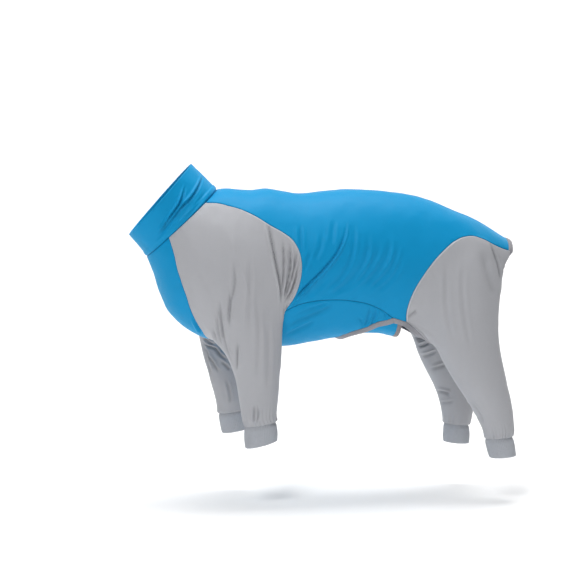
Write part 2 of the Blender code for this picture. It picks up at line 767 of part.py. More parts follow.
def sleeve_parts(seams, side):
    """Loop, normals and counts of a sleeve's seam, in order round the sleeve."""
    lines = [
        seams["shoulder"],
        seams["front_raglan"],
        seams["underarm"],
        seams["back_raglan"][::-1],
    ]
    places = joined(*lines)[:-1]
    counts = [len(line) - 1 for line in lines]
    loop = trunk(places) * (1.0, -side, 1.0)
    normals = trunk_normal(places) * (1.0, -side, 1.0)
    return loop, normals, counts


def sleeve(name, seams, side, rings, cuff, material, parts):
    """Raglan sleeve from the neck seam down to its cuff seam."""
    loop, normals, counts = sleeve_parts(seams, side)
    angles = spread_over([row[0] for row in SLEEVE_LOOP], counts)
    lean = spread_over([row[1] for row in SLEEVE_LOOP], counts)[:, None]
    sizes = (FRONT_DROP, FRONT_LEG_WIDTH, FRONT_LEG_THICKNESS, FRONT_STANCE)
    top = ring(rings[0], angles, side, *sizes)
    ways = loop_ways(loop, normals, loop.mean(axis=0), top, lean)
    ways = eased_round(ways, normals)
    cuff_top = cuff_ring(cuff, 0.0, angles, side, front_cuff_sizes())
    grid = leg_grid(loop, ways, angles, SLEEVE_ROWS, rings, side, sizes, cuff_top)
    grid = relaxed(grid, LEG_EASING)
    out = facing_out(grid, grid_normals(grid, True), axis_points(grid))
    shift = (rings[0][1] - FRONT_LEFT_RINGS[0][1]) * BODY_LENGTH
    grid = folded(grid, out, SLEEVE_FOLDS, shift, True)
    grid = loop_drawn_in(grid, SEAM_GAP / 2.0)
    return cloth(name, grid, out, WALL, material, parts, True)


def loop_drawn_in(grid, gap):
    """Leg grid whose seam loop and last ring are drawn in by the gap."""
    moved = grid.copy()
    for edge, inner in ((0, 1), (-1, -2)):
        tangent = unit(np.roll(grid[edge], -1, axis=0) - np.roll(grid[edge], 1, axis=0))
        inward = grid[inner] - grid[edge]
        inward = inward - tangent * np.sum(inward * tangent, axis=-1, keepdims=True)
        moved[edge] = moved[edge] + unit(inward) * gap
    return moved


def front_cuff_sizes():
    """Drop, width, thickness, height and stance of a front cuff."""
    return FRONT_DROP, FRONT_CUFF_WIDTH, FRONT_CUFF_THICKNESS, FRONT_CUFF_HEIGHT, FRONT_STANCE


def hind_cuff_sizes():
    """Drop, width, thickness, height and stance of a hind cuff."""
    return HIND_DROP, HIND_CUFF_WIDTH, HIND_CUFF_THICKNESS, HIND_CUFF_HEIGHT, HIND_STANCE


def cuff_piece(name, angles, side, cuff, sizes, material, parts):
    """Short knitted tube below a leg's seam."""
    shares = np.linspace(CUFF_GAP_SHARE * SEAM_GAP / sizes[3], 1.0, CUFF_ROWS + 1)
    grid = np.array([cuff_ring(cuff, share, angles, side, sizes) for share in shares])
    out = facing_out(grid, grid_normals(grid, True), axis_points(grid))
    return cloth(name, grid, out, CUFF_WALL, material, parts, True)


def leg_edge(side):
    """Points along the inner edge of a hind leg and the ways its binding stands."""
    rows = np.array(LEG_EDGE)
    points = np.stack(
        [rows[:, 0] * BODY_LENGTH, side * rows[:, 2] * BODY_WIDTH, rows[:, 1] * BODY_DEPTH], axis=1
    )
    ways = rows[:, 3:] * (1.0, -side, 1.0)
    return points, ways


def hind_edge_line(seams, side):
    """Inner edge of a hind leg from the rump to the groin, at even steps."""
    points, ways = leg_edge(side)
    ends = trunk(seams["hind"][[-1, 0]]) * (1.0, -side, 1.0)
    points[0] = ends[0]
    points[-1] = ends[1]
    line = path(np.concatenate([points, ways], axis=1)[:, :3])
    keys = distances(points)
    ways = through(keys, ways, np.linspace(0.0, keys[-1], len(line)))
    count = sum(HIND_LOOP_STEPS[1:])
    both = even_steps(np.concatenate([line, ways], axis=1), count, lambda p: p[:, :3])
    return both[:, :3], unit(both[:, 3:])


def hind_leg(name, seams, side, rings, cuff, material, parts):
    """Hind leg from the hip seam and its bound inner edge down to its cuff seam."""
    edge, binding_ways = hind_edge_line(seams, side)
    upper = trunk(seams["hind"]) * (1.0, -side, 1.0)
    loop = joined(upper, edge)[:-1]
    angles = spread_over([row[0] for row in HIND_LOOP], HIND_LOOP_STEPS)
    lean = spread_over([row[1] for row in HIND_LOOP], HIND_LOOP_STEPS)[:, None]
    sizes = (HIND_DROP, HIND_LEG_WIDTH, HIND_LEG_THICKNESS, HIND_STANCE)
    top = ring(rings[0], angles, side, *sizes)
    hip = trunk_normal(seams["hind"]) * (1.0, -side, 1.0)
    on_body = len(upper)
    ways = np.empty(loop.shape)
    ways[:on_body] = loop_ways(upper, hip, top[:on_body], top[:on_body], lean[:on_body])
    straight = unit(top[on_body:] - loop[on_body:])
    ways[on_body:] = -binding_ways[1:-1] * (1.0 - lean[on_body:]) + straight * lean[on_body:]
    ways = unit(ways)
    cuff_top = cuff_ring(cuff, 0.0, angles, side, hind_cuff_sizes())
    grid = leg_grid(loop, ways, angles, HIND_ROWS, rings, side, sizes, cuff_top)
    grid = relaxed(grid, LEG_EASING)
    out = facing_out(grid, grid_normals(grid, True), axis_points(grid))
    shift = (rings[0][1] - HIND_LEFT_RINGS[0][1]) * BODY_LENGTH
    grid = folded(grid, out, HIND_FOLDS, shift, True)
    grid = loop_drawn_in(grid, SEAM_GAP / 2.0)
    cloth(name, grid, out, WALL, material, parts, True)
    return grid


def beyond(edge, inner):
    """Directions that carry a cloth on past its edge, square to the edge."""
    tangent = unit(np.gradient(edge, axis=0))
    ways = edge - inner
    return unit(ways - tangent * np.sum(ways * tangent, axis=-1, keepdims=True))


def binding_line(seams, back_grid, belly_grid, leg):
    """Half of the line along the opening, with the ways on past the cloth's edge."""
    centre = CHEST_STEPS // 2
    low = len(seams["lower"])
    arch_ways = beyond(belly_grid[-1], belly_grid[-2])[centre::-1]
    arch_ways = unit(arch_ways + ARCH_BINDING_DROP * trunk_normal(seams["arch"][centre::-1]))
    low_ways = beyond(back_grid[:, 0], back_grid[:, 1])[-low:]
    on_body = len(seams["hind"])
    edge, _ = hind_edge_line(seams, LEFT)
    leg_ways = beyond(edge, np.concatenate([leg[1, on_body - 1 :], leg[1, :1]]))
    half = back_grid.shape[1] // 2
    rump = len(seams["rump"])
    rump_ways = beyond(back_grid[-1], back_grid[-2])[half - rump + 1 : half + 1]
    arch = trunk(seams["arch"])[centre::-1]
    line = joined(arch, trunk(seams["lower"]), edge[::-1], trunk(seams["rump"])[::-1])
    ways = [arch_ways[:-1], low_ways[:-1], leg_ways[::-1][:-1], rump_ways]
    return line, np.concatenate(ways)


def opening_binding(seams, grids, material, parts):
    """Narrow band that binds the whole edge of the opening under the suit."""
    line, out = binding_line(seams, *grids)
    mirror = np.array([1.0, -1.0, 1.0])
    whole = np.concatenate([line, (line * mirror)[::-1][1:-1]])
    ways = np.concatenate([out, (out * mirror)[::-1][1:-1]])
    tangent = unit(np.roll(whole, -1, axis=0) - np.roll(whole, 1, axis=0))
    ways = unit(ways + BINDING_EASING * (np.roll(ways, 1, axis=0) + np.roll(ways, -1, axis=0)))
    ways = unit(ways - tangent * np.sum(ways * tangent, axis=1, keepdims=True))
    normals = unit(np.cross(ways, tangent))
    rows = []
    for share in np.linspace(0.0, 1.0, BINDING_ROWS + 1):
        reach = SEAM_GAP / 2.0 + share * BINDING_WIDTH
        rows.append(whole + ways * reach + normals * BINDING_RISE)
    grid = np.array(rows)
    return cloth("opening_binding", grid, np.tile(normals, (len(rows), 1, 1)), BINDING_THICKNESS,
                 material, parts, True)


def flap_grid(first, last, steps):
    """Grid just inside the body form, across the belly between two stations."""
    stations = np.linspace(first, last, steps[0] + 1)
    rounds = np.linspace(FLAP_PLACE[2], 2.0 - FLAP_PLACE[2], steps[1] + 1)
    places = np.stack(np.meshgrid(stations, rounds, indexing="ij"), axis=-1)
    normals = trunk_normal(places)
    return trunk(places) - normals * (WALL + FLAP_CLEARANCE), normals


def belly_flap(blue, edge_grey, parts):
    """Flap across the belly that shows behind the arch, with its bound rear edge."""
    rear_rib = rib(np.array([FLAP_PLACE[1], FLAP_PLACE[1] + PLACE_STEP]))[1][:, 0]
    station_length = (rear_rib[1] - rear_rib[0]) / PLACE_STEP
    seam_station = FLAP_PLACE[1] - FLAP_BINDING_WIDTH / station_length
    gap_share = SEAM_GAP / station_length
    grid, normals = flap_grid(FLAP_PLACE[0], seam_station, FLAP_STEPS)
    cloth("belly_flap", grid, normals, WALL, blue, parts)
    grid, normals = flap_grid(seam_station + gap_share, FLAP_PLACE[1], (1, FLAP_STEPS[1]))
    cloth("flap_binding", grid, normals, BINDING_THICKNESS, edge_grey, parts)


def finish(name, colour, roughness):
    """Cloth material."""
    material = bpy.data.materials.new(name)
    material.use_nodes = True
    shader = material.node_tree.nodes["Principled BSDF"]
    shader.inputs["Base Color"].default_value = (*colour, 1.0)
    shader.inputs["Roughness"].default_value = roughness
    shader.inputs["Metallic"].default_value = 0.0
    return material


def main():
    for old in list(bpy.data.objects):
        bpy.data.objects.remove(old, do_unlink=True)
    parts = bpy.data.collections.new("dog_jumpsuit")
    bpy.context.scene.collection.children.link(parts)
    blue = finish("blue_knit", BLUE, 0.55)
    grey = finish("grey_knit", GREY, 0.60)
    cuff_grey = finish("cuff_knit", CUFF_GREY, 0.75)
    edge_grey = finish("binding_knit", BINDING_GREY, 0.70)
    seams = body_seams()
    back_grid = back_panel(seams, blue, parts)
    belly_grid = underside_panel(seams, blue, parts)
    collar(seams, blue, parts)
    sides = (
        ("left", LEFT, FRONT_LEFT_RINGS, FRONT_LEFT_CUFF, HIND_LEFT_RINGS, HIND_LEFT_CUFF),
        ("right", RIGHT, FRONT_RIGHT_RINGS, FRONT_RIGHT_CUFF, HIND_RIGHT_RINGS, HIND_RIGHT_CUFF),
    )
    sleeve_counts = sleeve_parts(seams, LEFT)[2]
    front_angles = spread_over([row[0] for row in SLEEVE_LOOP], sleeve_counts)
    hind_angles = spread_over([row[0] for row in HIND_LOOP], HIND_LOOP_STEPS)
    legs = {}
    for word, side, front, front_cuff, hind, hind_cuff in sides:
        sleeve("front_sleeve_" + word, seams, side, front, front_cuff, grey, parts)
        cuff_piece("front_cuff_" + word, front_angles, side, front_cuff, front_cuff_sizes(),
                   cuff_grey, parts)
        legs[word] = hind_leg("hind_leg_" + word, seams, side, hind, hind_cuff, grey, parts)
        cuff_piece("hind_cuff_" + word, hind_angles, side, hind_cuff, hind_cuff_sizes(),
                   cuff_grey, parts)
    opening_binding(seams, (back_grid, belly_grid, legs["left"]), edge_grey, parts)
    belly_flap(blue, finish("flap_edge_knit", FLAP_GREY, 0.70), parts)


main()
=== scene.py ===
"""Dressed scene of a dog jumpsuit: knit cloth, seams, folds, cuffs and bindings on its frame."""

import math

import bpy
import numpy as np
from mathutils import Matrix, Vector


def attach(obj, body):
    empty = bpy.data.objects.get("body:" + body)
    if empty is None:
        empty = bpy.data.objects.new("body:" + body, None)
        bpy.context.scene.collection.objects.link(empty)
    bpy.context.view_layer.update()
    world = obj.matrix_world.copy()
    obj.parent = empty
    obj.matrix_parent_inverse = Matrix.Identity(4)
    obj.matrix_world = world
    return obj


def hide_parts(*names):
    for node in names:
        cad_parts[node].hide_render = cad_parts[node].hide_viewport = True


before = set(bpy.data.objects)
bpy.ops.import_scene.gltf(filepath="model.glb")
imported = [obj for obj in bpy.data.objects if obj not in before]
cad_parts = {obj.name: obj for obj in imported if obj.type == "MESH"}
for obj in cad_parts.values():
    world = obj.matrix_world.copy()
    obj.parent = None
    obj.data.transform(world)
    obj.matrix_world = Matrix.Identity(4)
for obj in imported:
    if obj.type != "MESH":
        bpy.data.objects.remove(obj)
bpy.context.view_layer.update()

# Body sizes in metres
BODY_LENGTH = 0.460
BODY_DEPTH = 0.280
BODY_WIDTH = 0.212
BELLY_LEVEL = 0.263

# Collar sizes
COLLAR_BACK = 0.063
COLLAR_FRONT = 0.048
COLLAR_WIDTH = 0.138
NAPE_LEAN = 134.0
THROAT_LEAN = 129.0

# Front leg and cuff sizes
FRONT_DROP = 0.147
FRONT_STANCE = 0.150
FRONT_LEG_WIDTH = 0.086
FRONT_LEG_THICKNESS = 0.070
FRONT_CUFF_HEIGHT = 0.034
FRONT_CUFF_WIDTH = 0.0556
FRONT_CUFF_THICKNESS = 0.046

# Hind leg and cuff sizes
HIND_DROP = 0.180
HIND_STANCE = 0.148
HIND_LEG_WIDTH = 0.112
HIND_LEG_THICKNESS = 0.078
HIND_CUFF_HEIGHT = 0.033
HIND_CUFF_WIDTH = 0.0485
HIND_CUFF_THICKNESS = 0.042

# Cloth and seam sizes
WALL = 0.0016
BINDING_WIDTH = 0.0085
ARCH_BINDING_DROP = 0.5
FLAP_CLEARANCE = 0.0024
FLAP_BINDING_WIDTH = 0.007
HEM_OVERHANG = 0.0022

# Grid steps along each seam. Panels that meet share the steps of the seam between them.
NAPE_STEPS = 2
SHOULDER_STEPS = 5
CHEST_STEPS = 8
FRONT_RAGLAN_STEPS = 6
UNDERARM_STEPS = 5
BACK_RAGLAN_STEPS = 10
FLANK_STEPS = 13
LOWER_STEPS = 2
RUMP_STEPS = 2
SLEEVE_ROWS = (8, 6)
HIND_ROWS = (8, 6)
ROW_CROWDING = 1.35

LEFT = -1
RIGHT = 1

# Lengths in metres that one whole station and one whole way round stand for, the step in
# both that finds a direction on the body form, and rounds of easing of a leg's cloth
PLACE_SCALE = (0.60, 0.32)
PLACE_STEP = 0.004
LEG_EASING = 2

# Side-view places where three seams meet: x, z
ARMPIT = (0.109, -0.746)
ARCH_END = (0.534, -0.806)
GROIN = (0.588, -0.834)
RUMP_CORNER = (0.995, -0.385)

# Body sections: station, back x, back z, belly x, belly z, half width as a share of
# BODY_WIDTH, back roundness, belly roundness (1 is an ellipse, less is squarer)
RIBS = (
    (0.00, -0.132, 0.004, -0.403, -0.415, 0.330, 1.00, 1.00),
    (0.08, -0.095, 0.012, -0.374, -0.535, 0.385, 0.98, 0.98),
    (0.16, -0.050, 0.004, -0.349, -0.660, 0.430, 0.95, 0.95),
    (0.24, 0.004, 0.000, -0.308, -0.790, 0.462, 0.92, 0.90),
    (0.32, 0.064, 0.010, -0.205, -0.925, 0.482, 0.90, 0.85),
    (0.40, 0.130, -0.008, -0.060, -0.975, 0.494, 0.90, 0.80),
    (0.48, 0.200, -0.018, 0.090, -1.000, 0.500, 0.90, 0.80),
    (0.56, 0.290, -0.006, 0.230, -0.974, 0.494, 0.90, 0.80),
    (0.64, 0.390, 0.004, 0.370, -0.940, 0.478, 0.90, 0.76),
    (0.72, 0.500, -0.004, 0.490, -0.936, 0.458, 0.90, 0.70),
    (0.80, 0.630, -0.030, 0.600, -0.955, 0.444, 0.90, 0.66),
    (0.88, 0.770, -0.103, 0.735, -0.860, 0.425, 0.92, 0.75),
    (0.94, 0.895, -0.196, 0.875, -0.700, 0.355, 0.95, 0.85),
    (1.00, 1.020, -0.316, 1.000, -0.530, 0.190, 1.00, 1.00),
)

# Seams seen from the side: x, z
BACK_RAGLAN = (
    (-0.152, -0.086),
    (-0.101, -0.091),
    (-0.050, -0.115),
    (-0.005, -0.149),
    (0.057, -0.212),
    (0.101, -0.253),
    (0.134, -0.292),
    (0.160, -0.358),
    (0.171, -0.429),
    (0.171, -0.510),
    (0.162, -0.585),
    (0.145, -0.660),
    ARMPIT,
)
FRONT_RAGLAN = (
    (-0.306, -0.331),
    (-0.303, -0.402),
    (-0.292, -0.489),
    (-0.277, -0.568),
    (-0.261, -0.643),
    (-0.246, -0.723),
    (-0.228, -0.793),
    (-0.203, -0.862),
    (-0.172, -0.925),
)
FLANK = (
    ARMPIT,
    (0.164, -0.706),
    (0.218, -0.687),
    (0.272, -0.680),
    (0.326, -0.681),
    (0.380, -0.691),
    (0.434, -0.711),
    (0.478, -0.743),
    (0.511, -0.777),
    ARCH_END,
)
LOWER_EDGE = (
    ARCH_END,
    (0.560, -0.820),
    GROIN,
)
HIND_SEAM = (
    GROIN,
    (0.585, -0.770),
    (0.602, -0.656),
    (0.659, -0.497),
    (0.735, -0.361),
    (0.776, -0.314),
    (0.816, -0.291),
    (0.857, -0.289),
    (0.897, -0.310),
    (0.940, -0.345),
    RUMP_CORNER,
)
BELLY_ARCH = (
    ARCH_END,
    (0.508, -0.823),
    (0.478, -0.832),
    (0.452, -0.853),
    (0.430, -0.873),
    (0.405, -0.886),
    (0.378, -0.902),
    (0.352, -0.924),
)
ARCH_APEX_STATION = 0.618

# Inner flap behind the arch: first and last station, share of the way round of its side
FLAP_PLACE = (0.605, 0.780, 0.745)

# Underarm seam between the two raglan seams: station, share of the way round to the belly
UNDERARM_MIDDLE = (
    (0.385, 0.905),
    (0.430, 0.870),
    (0.468, 0.800),
)

# Inner edge of a hind leg from the rump round to the groin: x, z, distance from the middle
# as a share of BODY_WIDTH, then the way the binding stands out of it
LEG_EDGE = (
    (*RUMP_CORNER, 0.160, 0.80, 0.10, -0.35),
    (0.992, -0.430, 0.178, 0.75, 0.35, -0.20),
    (0.980, -0.500, 0.196, 0.70, 0.60, 0.10),
    (0.955, -0.590, 0.200, 0.50, 0.75, 0.35),
    (0.915, -0.700, 0.170, 0.30, 0.60, 0.70),
    (0.855, -0.820, 0.145, 0.20, 0.35, 0.90),
    (0.785, -0.915, 0.150, 0.05, 0.35, 0.90),
    (0.725, -0.970, 0.210, -0.30, 0.60, 0.60),
    (0.688, -0.972, 0.300, -0.60, 0.70, 0.10),
    (0.655, -0.930, 0.360, -0.60, 0.60, -0.45),
    (0.624, -0.884, 0.372, -0.45, 0.45, -0.75),
    (*GROIN, 0.350, -0.15, 0.25, -0.95),
)

# Loops at the top of a leg: for each corner, the ring angle that it runs down to (0 front,
# 90 outer side, 180 rear) and how far its first step leans toward that ring
SLEEVE_LOOP = ((100, 0.25), (35, 0.30), (-12, 0.90), (-170, 0.70), (-260, 0.25))
HIND_LOOP = ((50, 0.35), (160, 0.40), (200, 0.60), (355, 0.80), (410, 0.40))
HIND_LOOP_STEPS = (10, 3, 6, 3)

# Leg rings: drop as a share of the leg's drop, centre x as a share of BODY_LENGTH, half
# width and half thickness as shares of the leg's, spread as a share of the stance, rise of
# the rear side as a share of the leg's width
FRONT_LEFT_RINGS = (
    (0.310, 0.006, 0.500, 0.500, 0.500, 0.00),
    (0.456, 0.011, 0.451, 0.465, 0.500, 0.02),
    (0.636, 0.013, 0.419, 0.430, 0.500, 0.04),
    (0.796, 0.015, 0.378, 0.400, 0.500, 0.07),
    (0.930, 0.014, 0.360, 0.385, 0.500, 0.10),
)
FRONT_RIGHT_RINGS = (
    (0.310, -0.080, 0.500, 0.500, 0.500, 0.00),
    (0.456, -0.075, 0.451, 0.465, 0.500, 0.02),
    (0.636, -0.065, 0.419, 0.430, 0.500, 0.04),
    (0.796, -0.059, 0.378, 0.400, 0.500, 0.06),
    (0.930, -0.053, 0.355, 0.385, 0.500, 0.08),
)
HIND_LEFT_RINGS = (
    (0.206, 0.843, 0.498, 0.500, 0.480, 0.00),
    (0.411, 0.878, 0.436, 0.455, 0.485, 0.02),
    (0.592, 0.912, 0.362, 0.400, 0.490, 0.03),
    (0.761, 0.938, 0.308, 0.355, 0.495, 0.04),
    (0.930, 0.958, 0.262, 0.320, 0.500, 0.05),
)
HIND_RIGHT_RINGS = (
    (0.206, 0.811, 0.486, 0.500, 0.480, 0.00),
    (0.411, 0.832, 0.420, 0.455, 0.485, 0.00),
    (0.592, 0.857, 0.353, 0.400, 0.490, -0.01),
    (0.761, 0.867, 0.300, 0.355, 0.495, -0.02),
    (0.930, 0.870, 0.250, 0.320, 0.500, -0.03),
)

# Cuff rings: centre x at the top and at the bottom, rise of the rear side at both as a
# share of the cuff's width
FRONT_LEFT_CUFF = (0.022, 0.025, 0.17, 0.23)
FRONT_RIGHT_CUFF = (-0.054, -0.040, 0.15, 0.18)
HIND_LEFT_CUFF = (0.957, 0.973, 0.10, 0.06)
HIND_RIGHT_CUFF = (0.866, 0.866, -0.08, -0.08)

# Size and middle of the photo in pixels
PHOTO_SIZE = 576
PHOTO_MIDDLE = (288, 288)

# Folds as they show in the photo: depth and width in mm, side of the ridge (-1 left, 1 right,
# 0 both) and its share, and places in pixels of the photo
BACK_FOLDS = (
    (4.4, 2.8, 1, 1.0, ((346.6, 217.9), (344.5, 236), (338.2, 251.6), (326.3, 267),
     (312.2, 281), (298.2, 295), (284.2, 307.7))),
    (1.8, 4.4, 1, 0.8, ((354.3, 221.3), (354, 242), (351.5, 258.6), (340, 278), (323.5, 292))),
    (2.2, 5.2, 1, 0.8, ((368.5, 230), (366, 255), (357.5, 272), (342.5, 287.5), (330, 296))),
    (1.5, 4.6, 1, 0.8, ((379, 238), (378, 252), (370, 267), (352, 285), (337, 296))),
    (1.9, 5.6, 1, 0.8, ((390, 234), (386, 258), (377, 272), (361.4, 288))),
    (1.4, 4.6, 1, 0.8, ((400, 240), (394, 262), (385, 275), (366, 290))),
    (1.1, 5.0, 1, 0.7, ((404, 252), (396, 272), (386, 284), (376, 292))),
    (2.0, 4.0, 0, 0.6, ((300.3, 222), (301, 240), (301.4, 258.6))),
    (1.8, 4.0, 0, 0.6, ((311.4, 250.8), (307, 263), (302.8, 273.8))),
    (1.3, 5.0, 0, 0.6, ((334.7, 218), (333, 232), (331.9, 246))),
    (1.3, 5.0, 0, 0.6, ((322, 232), (320, 248), (314, 262))),
    (1.2, 6.0, 1, 0.6, ((330, 276), (318, 288), (304, 297))),
)
SLEEVE_FOLDS = (
    (5.6, 3.0, -1, 0.7, ((266.5, 212.5), (273, 247.4), (277.2, 269.8), (281.4, 289.4), (282, 306))),
    (3.6, 2.6, 1, 0.9, ((283, 236), (284, 262), (282.5, 292))),
    (4.2, 2.7, 1, 0.9, ((290, 239.7), (290, 269.8), (284.2, 298.5))),
    (4.2, 2.7, 1, 0.9, ((298.2, 248.4), (292.2, 275.4), (284.2, 300.7))),
    (3.4, 2.5, 1, 0.9, ((299.2, 262.8), (291.8, 289.4), (284.2, 304))),
    (2.6, 3.4, -1, 0.8, ((234, 258.5), (234, 289), (230.5, 303), (229, 330))),
    (2.2, 3.0, 1, 0.8, ((229.8, 285), (229.8, 306.7), (228, 326))),
    (2.8, 3.0, -1, 0.9, ((220, 299), (220.7, 320.7), (224.2, 343.8))),
    (2.6, 2.8, -1, 0.9, ((217, 312), (219, 334.7), (222.1, 347.3))),
    (2.6, 2.8, -1, 0.9, ((211.3, 325), (217.2, 339.6), (224.4, 357.2))),
    (2.6, 2.8, 1, 0.9, ((220.6, 318), (223.7, 339.1), (230.2, 360.6))),
    (3.0, 2.8, 1, 0.9, ((238.2, 342), (236.7, 354.4), (236.3, 370.8))),
    (1.6, 5.0, 0, 0.6, ((249, 252), (250, 290), (248, 330))),
    (1.3, 5.0, 0, 0.6, ((258, 300), (259, 340), (257, 380))),
    (1.3, 5.0, 0, 0.6, ((268, 320), (269, 350), (267, 390))),
    (2.2, 2.8, 0, 0.6, ((254.9, 404.3), (254.2, 416), (253.6, 424))),
    (2.0, 2.8, 0, 0.6, ((259.4, 406.8), (258, 418), (256.5, 424.9))),
)
HIND_FOLDS = (
    (3.6, 8.0, 1, 0.5, ((482, 249.5), (489, 277.6), (494.8, 298.8))),
    (3.2, 3.0, 1, 0.7, ((489.2, 239.8), (493, 249.4), (498.4, 262.9), (500, 271), (500.6, 281.2))),
    (2.4, 2.8, 1, 0.8, ((407.4, 317.9), (412, 314.5), (417.1, 311.1))),
    (1.2, 5.0, 0, 0.6, ((447, 262), (446, 300), (452, 340))),
    (1.2, 5.0, 0, 0.6, ((462, 258), (463, 300), (470, 350))),
    (1.6, 3.4, 1, 0.7, ((470, 400.5), (475.4, 407.5), (478.3, 411.6), (481.2, 416.6),
     (483.7, 425.6))),
)
UNDERSIDE_FOLDS = (
    (3.0, 4.0, 1, 0.9, ((284, 328.7), (295, 323), (306.6, 317.5), (334.7, 306.3))),
    (2.4, 4.0, 1, 0.8, ((284, 335.7), (298, 329), (316, 321))),
    (1.6, 4.0, 1, 0.8, ((290, 318), (310, 309), (330, 303))),
    (2.6, 2.8, 1, 0.9, ((370.8, 305.3), (368.3, 317.1), (363.8, 327.8))),
    (2.6, 2.8, 1, 0.9, ((377.2, 307.8), (374.6, 317.1), (370.8, 325.6))),
    (2.2, 2.8, 1, 0.9, ((385.5, 309.1), (385.5, 315), (384.5, 320.5))),
    (2.0, 2.8, 1, 0.9, ((357, 317), (361, 322), (363.4, 328.8))),
)
CHEST_FOLDS = (
    (3.4, 3.0, -1, 0.8, ((193, 316), (197, 324), (202, 333))),
)
COLLAR_FOLDS = (
    (3.4, 2.8, -1, 1.2, ((206.7, 166.8), (195.7, 191.2), (190.3, 199.2), (183, 205.9),
     (176.9, 213.9), (168.2, 224.7), (155.5, 241.4))),
    (4.2, 2.6, -1, 1.0, ((186.5, 184.2), (178.9, 205.9), (170.9, 216.6), (165.5, 224.7),
     (156.8, 235))),
    (1.2, 4.2, -1, 0.9, ((207, 186), (202, 198), (194, 209), (184, 221), (175, 232))),
)
FAR_SLEEVE_FOLDS = (
    (3.2, 2.8, 1, 1.0, ((201.5, 336.8), (208, 341.2), (214.3, 344.9))),
    (3.4, 2.8, 1, 1.0, ((200.5, 340.4), (206.4, 345.3), (215.6, 349.1), (219.4, 353.7),
     (227.3, 360.8))),
    (3.0, 2.8, 1, 1.0, ((201, 343.6), (206.4, 350.9), (208.7, 355.7), (213.7, 363.3),
     (219.4, 372.8))),
    (2.6, 2.8, 1, 0.9, ((220.5, 360.1), (226, 365), (230.4, 370.2))),
    (2.0, 3.0, 1, 0.8, ((204, 350), (207, 360), (211, 374))),
    (1.8, 3.0, 0, 0.8, ((226, 378), (229, 390), (231, 404))),
)
FAR_HIND_FOLDS = (
    (3.0, 3.2, 1, 1.0, ((411.9, 337.6), (418, 338.6), (424.8, 337.6))),
    (3.0, 3.2, 1, 1.0, ((417, 346.3), (423, 345.3), (429.2, 342.4))),
    (2.6, 3.2, 1, 0.9, ((420, 356), (427, 355), (436, 351))),
    (3.0, 3.2, 1, 1.0, ((430, 369), (438, 367.5), (446.8, 365))),
    (3.0, 3.2, 1, 1.0, ((435.2, 391.2), (442, 392), (450.4, 394.5))),
    (2.2, 3.2, 1, 0.9, ((437.2, 403), (445, 403), (454, 401))),
)

# Cloth colours
GREY = (0.415, 0.420, 0.445)
CUFF_GREY = (0.330, 0.345, 0.375)
BINDING_GREY = (0.300, 0.300, 0.325)
FLAP_GREY = (0.265, 0.235, 0.240)

# Finer steps of the cloth in the scene, for each step of the frame
FINE = 10
SETTLING = ((1, 400), (2, 160), (5, 80), (10, 50))
EDGE_STEPS = (0.0, 0.12, 0.3, 0.55, 0.85, 1.2, 1.6)

# Camera: place it looks at, distance, turn and height in degrees, lens and sensor in mm, and
# size of a pixel of the photo in mm on the plane through TARGET
TARGET = (0.068, 0.0, -0.176)
DISTANCE = 2.6
TURN = -7.0
HEIGHT = 4.5
LENS = 90.19
SENSOR = 36.0
PIXEL = 1000.0 * DISTANCE * SENSOR / (LENS * PHOTO_SIZE)

# Cloth thickness, depth of a seam's groove and its width, height of the turned edge
CLOTH = 0.0011
GROOVE = (0.0010, 0.0016)
TURNED_EDGE = (0.00045, 0.0026, 0.0012)
COLLAR_CLOTH = 0.0024

# Fold across its line, in widths: reach, power of the valley's sides, place and spread of the
# ridge, height of the lower ridge as a share; along its line: samples, and how fast its start
# and end rise; and its painted shade down the valley: full depth and width in mm, and share
# of the valley's width
FOLD_REACH = 6.0
VALLEY_POWER = 1.5
RIDGE_PLACE = 1.45
RIDGE_SPREAD = 0.55
LOW_RIDGE = 0.22
FOLD_SAMPLES = 41
FOLD_START = 2.8
FOLD_END = 5.0
DARK_DEPTH = 4.0
DARK_WIDTH = 3.5
DARK_SHARE = 0.62

# Unevenness of worn cloth: height and size of each kind of bump, in metres
DRAPE = ((0.0011, 0.055), (0.00045, 0.022), (0.00012, 0.009))

# Leg cloth: height, size and upright share of its streaks, height and reach of the gathers
# at the hem and their number, and drop and depth of the turned-in hem
STREAKS = (0.00042, 0.013, 0.14)
GATHERS = (0.0011, 0.016, 19.0)
HEM_TURN = (0.0034, 0.0026)

# Collar: height of the raised seam band, where it ends and over what length it falls
BAND = (0.0018, 0.0075, 0.004)

# Cuffs: wall, depth of the ribs, swell in the middle, tuck under the hem
CUFF_CLOTH_WALL = 0.0026
RIB_DEPTH = 0.00042
CUFF_SWELL = 0.0012
CUFF_TUCK = 0.0016

# Bindings: how far they reach past an edge, and the rounding of their two sides
EDGE_OVERLAP = 0.0012
TAPE_ROUNDING = (0.55, 0.75)

MIRROR = np.array([1.0, -1.0, 1.0])


def unit(vectors):
    """Vectors of length one."""
    size = np.linalg.norm(vectors, axis=-1, keepdims=True)
    return vectors / np.maximum(size, 1e-12)


def smooth_step(share):
    """Rises softly from 0 to 1."""
    share = np.clip(share, 0.0, 1.0)
    return share * share * (3.0 - 2.0 * share)


def through(keys, rows, at):
    """Rows of numbers read at the given keys from a smooth curve through every row."""
    keys = np.asarray(keys, float)
    rows = np.asarray(rows, float)
    at = np.asarray(at, float)
    slopes = np.gradient(rows, keys, axis=0)
    i = np.clip(np.searchsorted(keys, at) - 1, 0, len(keys) - 2)
    width = (keys[i + 1] - keys[i])[..., None]
    s = np.clip((at - keys[i])[..., None] / width, 0.0, 1.0)
    rise = s * s * (3.0 - 2.0 * s)
    start = s * (1.0 - s) ** 2
    end = s * s * (s - 1.0)
    value = rows[i] * (1.0 - rise) + rows[i + 1] * rise
    return value + width * (start * slopes[i] + end * slopes[i + 1])


